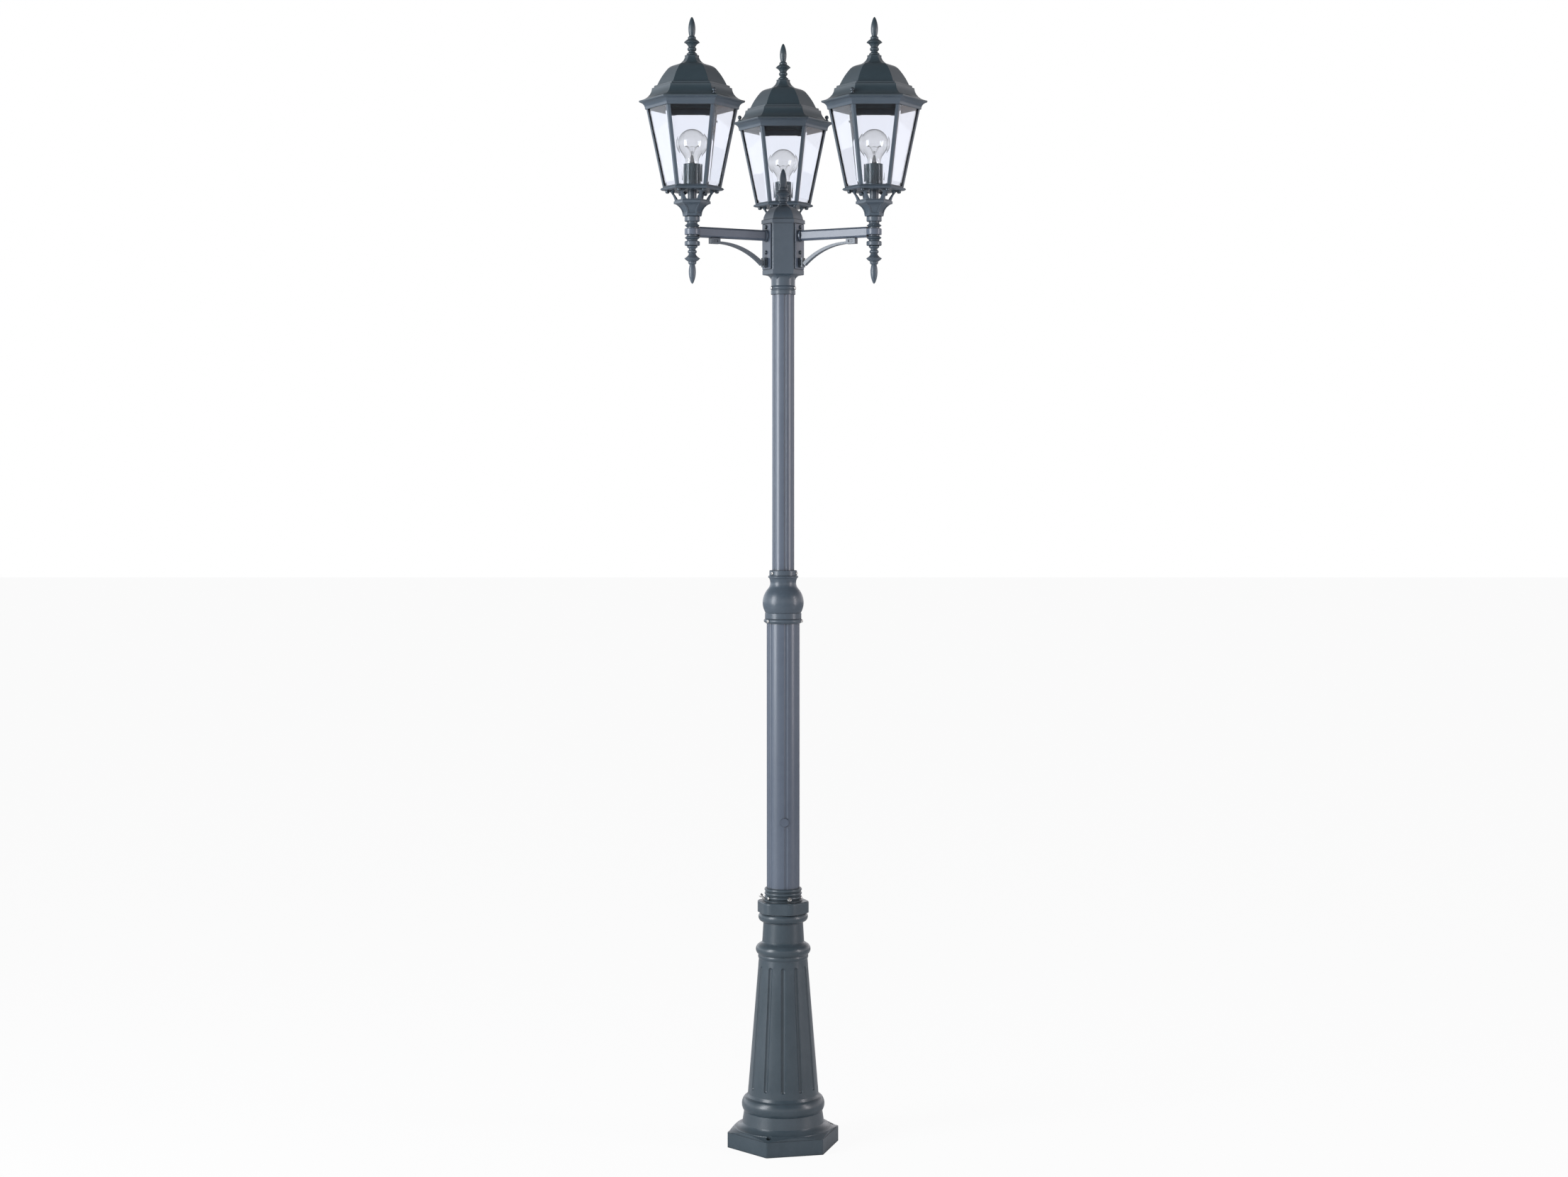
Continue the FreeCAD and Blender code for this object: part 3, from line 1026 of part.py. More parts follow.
def roof_surface(corner):
    """Height of the brim's surface at a corner radius, from the arc through three points."""
    (x1, z1), (x2, z2), (x3, z3) = brim_points()
    d = 2 * (x1 * (z2 - z3) + x2 * (z3 - z1) + x3 * (z1 - z2))
    s1, s2, s3 = x1 ** 2 + z1 ** 2, x2 ** 2 + z2 ** 2, x3 ** 2 + z3 ** 2
    cx = (s1 * (z2 - z3) + s2 * (z3 - z1) + s3 * (z1 - z2)) / d
    cz = (s1 * (x3 - x2) + s2 * (x1 - x3) + s3 * (x2 - x1)) / d
    radius = math.hypot(x1 - cx, z1 - cz)
    return cz - math.sqrt(radius ** 2 - (corner - cx) ** 2)


def brim_points():
    """Three points of the brim's hollow curve: at the rim, between, and at its top."""
    rim = (RIM_CORNER - 1, ROOF_FOOT + RIM_THICKNESS)
    top = (SWEEP_TOP_CORNER, SWEEP_TOP)
    middle = (top[0] + (rim[0] - top[0]) * 0.3, rim[1] + (top[1] - rim[1]) * 0.33)
    return rim, middle, top


def roof(arm_angle):
    """Hollow ogee dome on a swept brim."""
    rim, middle, top = brim_points()
    haunch = DOME_SHOULDER_CORNER
    crown = DOME_TOP - 0.8
    outer = six_sided([
        (RIM_CORNER, ROOF_FOOT), (RIM_CORNER, rim[1] - 0.6), rim, middle + top,
        (FIRST_STEP_CORNER + 0.5, SWEEP_TOP + 1), (FIRST_STEP_CORNER, DOME_FOOT - 1),
        (DOME_CORNER + 1, DOME_FOOT),
        (DOME_CORNER * 0.92, DOME_FOOT + DOME_HEIGHT * 0.3, haunch, DOME_FOOT + DOME_HEIGHT * 0.785),
        (haunch - 8.5, DOME_FOOT + DOME_HEIGHT * 0.922, haunch - 17.8, crown),
        (TIP_CORNER + 7.2, crown + TIP_HEIGHT * 0.25, TIP_CORNER + 0.1, crown + TIP_HEIGHT * 0.74),
        (TIP_CORNER - 0.6, ROOF_TOP - 3), (TIP_CORNER, ROOF_TOP - 1.6), (TIP_CORNER - 0.6, ROOF_TOP)])
    wall = ROOF_WALL / COS30
    inner = six_sided([
        (SWEEP_TOP_CORNER - wall, ROOF_FOOT - LIP_HEIGHT - 1), (SWEEP_TOP_CORNER - wall, SWEEP_TOP - 4),
        (FIRST_STEP_CORNER - wall - 2, SWEEP_TOP), (DOME_CORNER - wall - 1, DOME_FOOT),
        (DOME_CORNER * 0.9 - wall, DOME_FOOT + DOME_HEIGHT * 0.28,
         haunch - wall, DOME_FOOT + DOME_HEIGHT * 0.73),
        (haunch - 8.5 - wall, DOME_FOOT + DOME_HEIGHT * 0.85, TIP_CORNER + 5, crown - wall),
        (TIP_CORNER - 4, DOME_TOP + 1)])
    opening = cage_room(ROOF_FOOT - LIP_HEIGHT) - LIP_GAP
    lip = six_sided([(opening, ROOF_FOOT - LIP_HEIGHT), (opening, ROOF_FOOT + 1)])
    cutters = [inner, rod(STUD_RADIUS + SLIP, DOME_TOP - 5, ROOF_TOP + 1)]
    for angle in knob_angles(arm_angle):
        place = polar(RIM_CORNER - KNOB_INSET, angle, ROOF_FOOT - 1)
        cutters.append(Part.makeCylinder(KNOB_SHANK + SLIP, SWEEP_HEIGHT, place))
        seat = polar(RIM_CORNER - KNOB_INSET, angle, knob_seat())
        cutters.append(Part.makeCylinder(KNOB_FOOT + SLIP, SWEEP_HEIGHT, seat))
    return outer.fuse(lip).cut(cutters)


def knob_seat():
    """Height of the flat seat of a thumb screw, just under the brim's surface."""
    return roof_surface(RIM_CORNER - KNOB_INSET) - 0.8


def thumb_knob(angle):
    """Ball-headed thumb screw through the brim into the cornice."""
    seat = knob_seat()
    ball = seat + 0.8 + KNOB_STAND
    side = KNOB_BALL * math.sqrt(0.5)
    head = turned([
        (0, ROOF_FOOT - KNOB_REACH), (KNOB_SHANK, ROOF_FOOT - KNOB_REACH), (KNOB_SHANK, seat),
        (KNOB_FOOT, seat), (KNOB_FOOT, seat + 1.2), (KNOB_NECK, seat + 2), (KNOB_NECK, ball - side),
        (side, ball - side), (KNOB_BALL, ball, 0, ball + KNOB_BALL)])
    head.translate(polar(RIM_CORNER - KNOB_INSET, angle, 0))
    return head


def roof_finial():
    """Finial on the roof, with the stud that holds it."""
    top = finial(0)
    top = top.fuse(rod(STUD_RADIUS, -STUD_REACH, 1))
    top.translate(FreeCAD.Vector(0, 0, ROOF_TOP))
    return top


def socket_cover():
    """Sleeve that hides the lamp socket."""
    sleeve = rod(COVER_RADIUS, PLATE_TOP, PLATE_TOP + COVER_HEIGHT)
    return sleeve.cut(rod(COVER_RADIUS - COVER_WALL, PLATE_TOP - 1, PLATE_TOP + COVER_HEIGHT + 1))


def lamp_socket():
    """Lamp socket on top of the tie rod."""
    foot = PLATE_TOP
    bore = BULB_CAP_RADIUS + SLIP
    seat = foot + SOCKET_FLOOR / 2 + SLIP
    return turned([
        (ROD_RADIUS + SLIP, foot), (SOCKET_RADIUS * 0.6, foot), (SOCKET_RADIUS, foot + 4),
        (SOCKET_RADIUS, SOCKET_TOP - 1), (SOCKET_RADIUS - 1, SOCKET_TOP), (bore, SOCKET_TOP),
        (bore, BULB_FOOT), (0, BULB_FOOT), (0, seat), (ROD_RADIUS + SLIP, seat)])


def bulb_cap():
    """Screw cap of the bulb with its centre contact."""
    foot = BULB_FOOT
    top = foot + BULB_CAP_HEIGHT
    inside = BULB_CAP_RADIUS - 1
    return turned([
        (0, foot), (4.5, foot), (5, foot + 1.5), (9, foot + 4), (BULB_CAP_RADIUS - 0.6, foot + 6),
        (BULB_CAP_RADIUS, foot + 7), (BULB_CAP_RADIUS, top), (inside, top), (inside, foot + 8),
        (0, foot + 8)])


def bulb_glass():
    """Thin glass envelope: a ball on a tapering neck."""
    foot = BULB_FOOT + BULB_CAP_HEIGHT
    centre = BULB_FOOT + BULB_LENGTH - BULB_RADIUS
    turn = math.radians(40)

    def shell(inset):
        ball = BULB_RADIUS - inset
        neck = BULB_NECK - inset
        edge = ball * math.cos(turn)
        low = centre - ball * math.sin(turn)
        return [
            (neck, foot + inset), (neck + 0.3, foot + 6), (neck + 3, foot + 16, edge, low),
            (ball, centre, 0, centre + ball)]

    outer = turned([(0, foot)] + shell(0.0))
    inner = turned([(0, foot + GLASS_WALL)] + shell(GLASS_WALL))
    return outer.cut(inner)


# ---------------------------------------------------------------------------
# Assembly
# ---------------------------------------------------------------------------

os.makedirs("parts", exist_ok=True)
keep("base_casting", base_casting())
keep("base_collar", base_collar())
keep("base_clamp_screws", Part.makeCompound([clamp_screw(angle) for angle in CLAMP_SCREW_ANGLES]))
keep("small_set_screws", small_set_screws())
keep("lower_tube", lower_tube())
keep("tube_plug", tube_plug())
keep("ball_coupling", ball_coupling())
keep("upper_tube", fluted_tube(UPPER_TUBE_RADIUS, UPPER_TUBE_FOOT, UPPER_TUBE_TOP))
keep("hub_body", hub_body())
keep("hub_bridge", hub_bridge())
keep("hub_cap", hub_cap())

cap_finial = finial(STUD_REACH)
cap_finial.translate(FreeCAD.Vector(0, 0, HUB_CAP_TOP))
keep("hub_finial", cap_finial)

arm_screws = []
tie_rods = []
plate_nuts = []
basket_solid = basket()
arm_solid = arm_shape()
brace_solid = brace_shape()
panes = Part.makeCompound(around(pane_slab(0.0), 6))

for name, angle in LANTERNS:
    place = polar(ARM_REACH, angle, 0)

    def here(shape):
        """The shape moved to this lantern's axis."""
        copy = shape.copy()
        copy.translate(place)
        return copy

    keep(name + "_arm", spun(arm_solid, angle))
    keep(name + "_brace", spun(brace_solid, angle))
    keep(name + "_spindles", here(spindles()))
    keep(name + "_lower_finial", here(lower_finial()))
    keep(name + "_basket", here(basket_solid))
    keep(name + "_cage", here(cage_frame(angle)))
    keep(name + "_panes", here(panes))
    keep(name + "_roof", here(roof(angle)))
    keep(name + "_roof_finial", here(roof_finial()))
    for number, corner in enumerate(knob_angles(angle), start=1):
        keep(name + "_roof_knob_" + str(number), here(thumb_knob(corner)))
    keep(name + "_socket_cover", here(socket_cover()))
    keep(name + "_lamp_socket", here(lamp_socket()))
    keep(name + "_bulb_cap", here(bulb_cap()))
    keep(name + "_bulb_glass", here(bulb_glass()))
    arm_screws.extend(plate_screws(angle))
    tie_rods.append(here(tie_rod()))
    plate_nuts.extend(here(nut) for nut in cap_nuts())

keep("arm_plate_screws", Part.makeCompound(arm_screws))
keep("tie_rods", Part.makeCompound(tie_rods))
keep("basket_cap_nuts", Part.makeCompound(plate_nuts))
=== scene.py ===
import math

import bmesh
import bpy
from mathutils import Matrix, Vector


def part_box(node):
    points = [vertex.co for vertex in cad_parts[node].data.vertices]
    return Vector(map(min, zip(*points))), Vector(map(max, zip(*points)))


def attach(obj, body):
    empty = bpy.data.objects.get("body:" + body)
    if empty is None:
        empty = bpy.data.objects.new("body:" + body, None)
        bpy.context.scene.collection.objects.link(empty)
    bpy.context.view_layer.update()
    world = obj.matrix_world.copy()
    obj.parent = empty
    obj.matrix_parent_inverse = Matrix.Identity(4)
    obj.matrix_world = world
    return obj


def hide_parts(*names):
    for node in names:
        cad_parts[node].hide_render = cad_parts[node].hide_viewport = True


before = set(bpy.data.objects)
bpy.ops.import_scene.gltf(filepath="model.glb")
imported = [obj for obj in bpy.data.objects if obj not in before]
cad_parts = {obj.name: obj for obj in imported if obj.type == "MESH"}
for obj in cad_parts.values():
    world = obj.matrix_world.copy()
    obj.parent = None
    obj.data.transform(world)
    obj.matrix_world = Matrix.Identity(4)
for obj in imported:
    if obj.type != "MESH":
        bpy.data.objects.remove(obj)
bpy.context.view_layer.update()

# Three-lantern street lamp post. Metres, +Z up, origin on the ground at the post's axis, -Y is the front.

LANTERNS = ("left", "right", "rear")
POST = "post"

# ---- Camera and studio ----
CAMERA_ASIDE = 0.0018
CAMERA_BACK = 5.503         # from the post's axis to the lens
CAMERA_HEIGHT = 1.478
CAMERA_DIP = 2.636          # degrees below the horizon
LENS = 57.97                # mm, on a 36 mm sensor
FLOOR_SIZE = 60.0
LIGHT_AIM = (0, 0, 1.3)
FLOOR_DROP = 0.0004         # keeps the floor off the foot's underside
FLOOR_GLOW = 0.94           # share of white in what the lens sees of the floor

# ---- Panes ----
BEVEL_WIDTH = 0.0105        # ground edge of a pane, its lap in the post included
BEVEL_DROP = 0.0014         # how much thinner the pane is at its edge

# ---- Bulb ----
GLASS_WALL = 0.0007
NECK_SHARE = 0.465          # neck's radius as a share of the ball's
SHOULDER_ANGLE = -38.0      # degrees, where the ball meets the neck's curve
CAP_THREAD_PITCH = 0.0036
CAP_THREAD_DEPTH = 0.0009
THREAD_RUN_OUT = 0.0015
STEM_RADIUS = 0.0042
WIRE_RADIUS = 0.00022
COIL_RADIUS = 0.0006
COIL_TURNS = 60
COIL_STEPS = 8              # points in each turn
COIL_RING = 0.0135          # radius of the filament's arc
COIL_SAG = 0.0022
COIL_START, COIL_END = 205.0, -25.0
STEM_DROP = 0.047           # from the glass's top to the stem's button
COIL_RISE = 0.012           # from the button to the filament

# ---- Colours, as linear red, green and blue ----
SCREW_PAINT = (0.060, 0.078, 0.094)
SCREW_RUBBED = (0.150, 0.175, 0.200)
SLEEVE_SLATE = (0.070, 0.104, 0.116)
CAP_GLASS = (0.020, 0.020, 0.022)
TUBE_SLATE = (0.084, 0.108, 0.146)
# lighter tube coat for mottling and rubbed edges; on the edges it is also a painted highlight
TUBE_RUBBED_AND_HIGHLIGHT = (0.150, 0.180, 0.225)
SLATE = (0.060, 0.084, 0.108)
# lighter slate coat for mottling and rubbed edges; on the edges it is also a painted highlight
SLATE_RUBBED_AND_HIGHLIGHT = (0.130, 0.165, 0.205)
# painted shade colour for the corners of the slate coats
SLATE_CORNER_SHADE = (0.014, 0.023, 0.029)
BASE_SLATE = (0.036, 0.056, 0.070)
# lighter base coat for mottling and rubbed edges; on the edges it is also a painted highlight
BASE_RUBBED_AND_HIGHLIGHT = (0.095, 0.125, 0.150)
# near-black painted shade in narrow gaps and grooves
GAP_SHADE = (0.004, 0.008, 0.010)
ROOF_SLATE = (0.034, 0.055, 0.066)
# painted shade colour for the roof's corners
ROOF_CORNER_SHADE = (0.009, 0.016, 0.019)
DUST = (0.165, 0.170, 0.172)
ZINC = (0.80, 0.79, 0.76)
NICKEL = (0.72, 0.69, 0.62)
PORCELAIN = (0.80, 0.79, 0.75)
TUNGSTEN = (0.30, 0.29, 0.28)
PANE_TINT = (0.830, 0.850, 0.880)
BULB_TINT = (0.940, 0.937, 0.925)
FLOOR_WHITE = (0.90, 0.90, 0.90)
FLOOR_PALE = (0.88, 0.88, 0.88)
ROOM_COOL = (0.95, 0.985, 1.05)
ROOM_WARM = (1.03, 0.975, 1.00)
COOL_LIGHT = (0.94, 0.96, 1.0)
WARM_LIGHT = (1.0, 0.94, 0.97)
WHITE = (1.0, 1.0, 1.0, 1.0)

# ---- Sizes of the coat's marks, in cells per metre ----
CLOUDING = 9.0
MOTTLING = 75.0
RUBBING = 160.0
CAST_GRAIN = 230.0
ORANGE_PEEL = 620.0
GAP_SHADE_REACH = 0.0032      # metres, how far the painted shade line in a gap spreads
# metres, how far the painted shade in corners spreads
CORNER_SHADE_REACH = 0.012


# ---------------------------------------------------------------------------
# Materials
# ---------------------------------------------------------------------------

class Signal:
    """A socket whose value changes over the surface. Arithmetic on it adds Math nodes."""

    def __init__(self, paint, socket):
        self.paint = paint
        self.socket = socket

    def maths(self, operation, *values):
        return self.paint.node("Math", {"operation": operation}, dict(enumerate(values)))

    def __add__(self, other):
        return self.maths("ADD", self, other)

    def __sub__(self, other):
        return self.maths("SUBTRACT", self, other)

    def __rsub__(self, other):
        return self.maths("SUBTRACT", other, self)

    def __mul__(self, other):
        return self.maths("MULTIPLY", self, other)

    def __pow__(self, other):
        return self.maths("POWER", self, other)

    __radd__ = __add__
    __rmul__ = __mul__


class Paint:
    """One procedural material, or the world, and the nodes in it."""

    def __init__(self, owner):
        owner.use_nodes = True
        self.tree = owner.node_tree
        self.tree.nodes.clear()
        self.owner = owner

    def node(self, kind, settings=None, sockets=None, output=0):
        """A new node: its settings are set first, then its sockets are given values or links."""
        made = self.tree.nodes.new("ShaderNode" + kind)
        for name, value in (settings or {}).items():
            setattr(made, name, value)
        for name, value in (sockets or {}).items():
            if isinstance(value, Signal):
                self.tree.links.new(value.socket, made.inputs[name])
            else:
                made.inputs[name].default_value = value
        return Signal(self, made.outputs[output] if len(made.outputs) else None)

    def blend(self, share, low, high):
        """Colour between two colours by a share from 0 to 1."""
        low, high = (c if isinstance(c, Signal) else (*c, 1.0) for c in (low, high))
        return self.node("Mix", {"data_type": "RGBA"}, {0: share, 6: low, 7: high}, output=2)

    def span(self, value, start, end, low=0.0, high=1.0):
        """The value mapped smoothly from start..end to low..high, and held there outside."""
        return self.node("MapRange", {"interpolation_type": "SMOOTHSTEP"},
                         {0: value, 1: start, 2: end, 3: low, 4: high})

    def noise(self, place, scale, detail=3.0, rough=0.5):
        """Noise from 0 to 1; the scale is in cells per metre."""
        return self.node("TexNoise", None,
                         {"Vector": place, "Scale": scale, "Detail": detail, "Roughness": rough})

    def place(self):
        """Position in the frame of the whole object."""
        return self.node("TexCoord", None, None, output=3)

    def openness(self, reach):
        """1 on open surfaces, less where others stand within reach, in metres."""
        return self.node("AmbientOcclusion", {"samples": 4}, {"Distance": reach}, output=1)

    def bump(self, height, depth, strength, normal=None):
        """Bump of a height signal; the depth is in metres."""
        sockets = {"Height": height, "Distance": depth, "Strength": strength}
        if normal is not None:
            sockets["Normal"] = normal
        return self.node("Bump", None, sockets)

    def in_sight(self):
        """1 on what the lens sees straight or through glass, 0 on what only lights a surface."""
        straight = self.node("LightPath", None, None, output=0)
        through = self.node("LightPath", None, None, output=6)
        scattered = self.span(self.node("LightPath", None, None, output=9), 0, 1)
        return self.node("Math", {"operation": "MAXIMUM"}, {0: straight, 1: through * (1 - scattered)})

    def surface(self, sockets):
        """Principled surface as the material's output."""
        shader = self.node("BsdfPrincipled", None, sockets)
        self.node("OutputMaterial", None, {"Surface": shader})
        return self.owner


def new_paint(name):
    return Paint(bpy.data.materials.new(name))


def powder_coat(name, colour, corner_shade, rubbed_and_highlight, peel=0.00010, grain=0.0, gloss=0.36, dust=0.25, soft=0.0011):
    """Baked powder coat on cast or drawn aluminium: satin, with orange peel, rubbed edges that are also
    lightened as a painted highlight, painted shade in gaps and corners, and a little dust on what faces
    up. soft is the edges' radius."""
    paint = new_paint(name)
    place = paint.place()
    rounded = paint.node("Bevel", {"samples": 4}, {"Radius": soft})
    flat = paint.node("NewGeometry", None, None, output=1)
    same = paint.node("VectorMath", {"operation": "DOT_PRODUCT"}, {0: rounded, 1: flat}, output=1)
    # lighter where the surface turns at an edge: a thinly rubbed coat, and a painted highlight as well
    edge = paint.span(1 - same, 0.01, 0.12)
    # painted shade: darker in corners, where other surfaces stand near
    corner = paint.span(paint.openness(CORNER_SHADE_REACH), 0.25, 0.85)
    cloud = paint.noise(place, CLOUDING, 4.0, 0.6)
    fine = paint.noise(place, MOTTLING, 3.0, 0.6)
    rub = paint.span(paint.noise(place, RUBBING, 4.0, 0.7), 0.35, 0.68)
    # painted shade: near-black where a narrow gap hides the surface
    gap_shade_mask = paint.span(paint.openness(GAP_SHADE_REACH), 0.42, 0.90)
    shaded_tone = paint.blend(gap_shade_mask, GAP_SHADE, paint.blend(corner, corner_shade, colour))
    lifted = paint.blend(paint.span(cloud * 0.7 + fine * 0.3, 0.32, 0.68, 0.0, 0.20), shaded_tone, rubbed_and_highlight)
    rubbed_and_lit_edges = paint.blend(edge * (0.35 + rub * 0.65) * 0.8, lifted, rubbed_and_highlight)
    up = paint.node("SeparateXYZ", None, {0: flat}, output=2)
    dusty = paint.span(up, 0.45, 0.98) * paint.span(cloud, 0.3, 0.75, 0.35, 1.0) * dust
    skin = paint.noise(place, ORANGE_PEEL, 2.0, 0.55)
    height = skin + paint.noise(place, CAST_GRAIN, 3.0, 0.6) * grain if grain > 0 else skin * 1.0
    shine = gloss + (cloud - 0.5) * 0.10 + dusty * 0.5 + (1 - corner) * 0.12
    return paint.surface({
        "Base Color": paint.blend(dusty, rubbed_and_lit_edges, DUST),
        "Roughness": shine,
        "Normal": paint.bump(height, peel, 0.8, rounded),
        "Coat Weight": 0.18,
        "Coat Roughness": 0.16,
    })


def bright_zinc(name):
    """Zinc plate on screws and rods: bright, faintly brushed and clouded."""
    paint = new_paint(name)
    place = paint.place()
    cloud = paint.noise(place, 260.0, 3.0, 0.6)
    brushed = paint.noise(place, 1400.0, 2.0, 0.5)
    return paint.surface({
        "Base Color": paint.blend(paint.span(cloud, 0.35, 0.7), ZINC, (0.62, 0.62, 0.60)),
        "Metallic": 1.0,
        "Roughness": 0.22 + cloud * 0.16,
        "Normal": paint.bump(brushed, 0.00003, 0.5),
    })


def dark_screw(name):
    """Black-painted steel of the plate screws, cap nuts and thumb screws."""
    paint = new_paint(name)
    place = paint.place()
    cloud = paint.noise(place, 320.0, 3.0, 0.6)
    rounded = paint.node("Bevel", {"samples": 4}, {"Radius": 0.0005})
    return paint.surface({
        "Base Color": paint.blend(paint.span(cloud, 0.5, 0.8), SCREW_PAINT, SCREW_RUBBED),
        "Metallic": 0.45,
        "Roughness": 0.20 + cloud * 0.12,
        "Normal": paint.bump(cloud, 0.00005, 0.4, rounded),
    })


def pane_glass(name):
    """Clear drawn glass, very slightly wavy."""
    paint = new_paint(name)
    wave = paint.noise(paint.place(), 22.0, 1.0, 0.4)
    return paint.surface({
        "Base Color": (*PANE_TINT, 1.0),
        "Roughness": 0.0,
        "IOR": 1.46,
        "Transmission Weight": 1.0,
        "Normal": paint.bump(wave, 0.0003, 0.05),
    })


def blown_glass(name):
    """Thin clear glass of the bulbs and their stems."""
    paint = new_paint(name)
    wave = paint.noise(paint.place(), 60.0, 1.0, 0.4)
    return paint.surface({
        "Base Color": (*BULB_TINT, 1.0),
        "Roughness": 0.0,
        "IOR": 1.48,
        "Transmission Weight": 1.0,
        "Normal": paint.bump(wave, 0.0002, 0.05),
    })


def cap_metal(name):
    """Nickel-plated screw cap, duller and darker in clouded patches."""
    paint = new_paint(name)
    cloud = paint.noise(paint.place(), 420.0, 3.0, 0.6)
    return paint.surface({
        "Base Color": paint.blend(paint.span(cloud, 0.4, 0.75), NICKEL, (0.50, 0.46, 0.38)),
        "Metallic": 1.0,
        "Roughness": 0.24 + cloud * 0.2,
        "Normal": paint.bump(cloud, 0.00004, 0.4),
    })


def glazed(name, colour, gloss):
    """Glazed porcelain or black glass, with a faint cloud in it."""
    paint = new_paint(name)
    cloud = paint.noise(paint.place(), 120.0, 3.0, 0.5)
    darker = tuple(0.86 * c for c in colour)
    return paint.surface({
        "Base Color": paint.blend(cloud, colour, darker),
        "Roughness": gloss + cloud * 0.08,
        "Normal": paint.bump(cloud, 0.00006, 0.3),
    })


def fine_wire(name):
    """Tungsten and nickel wire."""
    paint = new_paint(name)
    cloud = paint.noise(paint.place(), 900.0, 2.0, 0.5)
    return paint.surface({
        "Base Color": paint.blend(cloud, TUNGSTEN, (0.46, 0.44, 0.40)),
        "Metallic": 1.0,
        "Roughness": 0.35 + cloud * 0.15,
    })


def floor_finish(name):
    """Plain pale studio floor, lit from within so that it runs into the white behind it."""
    paint = new_paint(name)
    cloud = paint.noise(paint.place(), 1.2, 2.0, 0.5)
    matt = paint.node("BsdfPrincipled", None, {
        "Base Color": paint.blend(cloud, FLOOR_WHITE, FLOOR_PALE),
        "Roughness": 0.9,
        "Specular IOR Level": 0.2,
    })
    lit = paint.node("Emission", None, {"Color": WHITE, "Strength": 1.0})
    both = paint.node("MixShader", None, {0: paint.in_sight() * FLOOR_GLOW, 1: matt, 2: lit})
    paint.node("OutputMaterial", None, {"Surface": both})
    return paint.owner


# ---------------------------------------------------------------------------
# Making and placing pieces
# ---------------------------------------------------------------------------

def piece_from(name, mesh, material, body, replaced=()):
    """Object of a bmesh, given its finish, its body and the nodes that it stands for."""
    data = bpy.data.meshes.new(name)
    bmesh.ops.recalc_face_normals(mesh, faces=mesh.faces)
    mesh.to_mesh(data)
    mesh.free()
    return settle(bpy.data.objects.new(name, data), material, body, replaced)


def settle(piece, material, body, replaced=()):
    """Links a piece, gives it its finish, and lets it ride on its body."""
    piece.data.materials.append(material)
    bpy.context.collection.objects.link(piece)
    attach(piece, body)
    if replaced:
        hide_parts(*replaced)
    return piece


def lathe(mesh, profile, centre, segments=72, ripple=None):
    """Surface turned about an upright axis from (radius, height) points. ripple(angle, height)
    is added to the radius."""
    rings = []
    for radius, height in profile:
        if radius < 1e-7:
            rings.append([mesh.verts.new((centre.x, centre.y, height))])
            continue
        ring = []
        for k in range(segments):
            angle = 2 * math.pi * k / segments
            r = radius + (ripple(angle, height) if ripple else 0.0)
            ring.append(mesh.verts.new((centre.x + r * math.cos(angle),
                                        centre.y + r * math.sin(angle), height)))
        rings.append(ring)
    faces = []
    for low, high in zip(rings, rings[1:]):
        for k in range(segments):
            after = (k + 1) % segments
            corners = [low[k % len(low)], low[after % len(low)],
                       high[after % len(high)], high[k % len(high)]]
            unique = list(dict.fromkeys(corners))
            if len(unique) > 2:
                faces.append(mesh.faces.new(unique))
    for face in faces:
        face.smooth = True
    return rings


def close_ring(mesh, first, last):
    """Joins the first and last rings of a turned wall, so that it encloses its thickness."""
    count = len(first)
    for k in range(count):
        after = (k + 1) % count
        mesh.faces.new([first[k], first[after], last[after], last[k]])


def curve_point(ends, share):
    """Point on a cubic curve with four control points, each a radius and a height."""
    rest = 1 - share
    weights = (rest ** 3, 3 * rest ** 2 * share, 3 * rest * share ** 2, share ** 3)
    return tuple(sum(w * point[axis] for w, point in zip(weights, ends)) for axis in (0, 1))


def wire(name, points, radius, material, body):
    """Round wire through a list of points."""
    curve = bpy.data.curves.new(name, "CURVE")
    curve.dimensions = "3D"
    curve.bevel_depth = radius
    curve.bevel_resolution = 2
    curve.use_fill_caps = True
    spline = curve.splines.new("POLY")
    spline.points.add(len(points) - 1)
    for target, point in zip(spline.points, points):
        target.co = (*point, 1.0)
    spline.use_smooth = True
    return settle(bpy.data.objects.new(name, curve), material, body)


def axis_of(node):
    """Upright axis through the middle of a node's box."""
    low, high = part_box(node)
    return Vector(((low.x + high.x) / 2, (low.y + high.y) / 2, 0.0))


# ---------------------------------------------------------------------------
# Panes
# ---------------------------------------------------------------------------

def slabs_of(node):
    """The eight corners of each pane of a node."""
    mesh = bmesh.new()
    mesh.from_mesh(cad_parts[node].data)
    bmesh.ops.remove_doubles(mesh, verts=mesh.verts, dist=1e-5)
    left = set(mesh.verts)
    slabs = []
    while left:
        reached = [left.pop()]
        for vert in reached:
            for edge in vert.link_edges:
                other = edge.other_vert(vert)
                if other in left:
                    left.remove(other)
                    reached.append(other)
        slabs.append([vert.co.copy() for vert in reached])
    mesh.free()
    return slabs


def pane_loops(corners, axis):
    """A pane's front and back corners, each from its low left round to its high left."""
    middle = sum(corners, Vector()) / len(corners)
    out = (middle - axis) * Vector((1, 1, 0))
    out.normalize()
    side = Vector((-out.y, out.x, 0))
    by_height = sorted(corners, key=lambda point: point.z)
    front, back = [], []
    for group, turn in ((by_height[:4], 1), (by_height[4:], -1)):
        by_depth = sorted(group, key=lambda point: point.dot(out))
        for loop, pair in ((back, by_depth[:2]), (front, by_depth[2:])):
            loop.extend(sorted(pair, key=lambda point: turn * point.dot(side)))
    return front, back


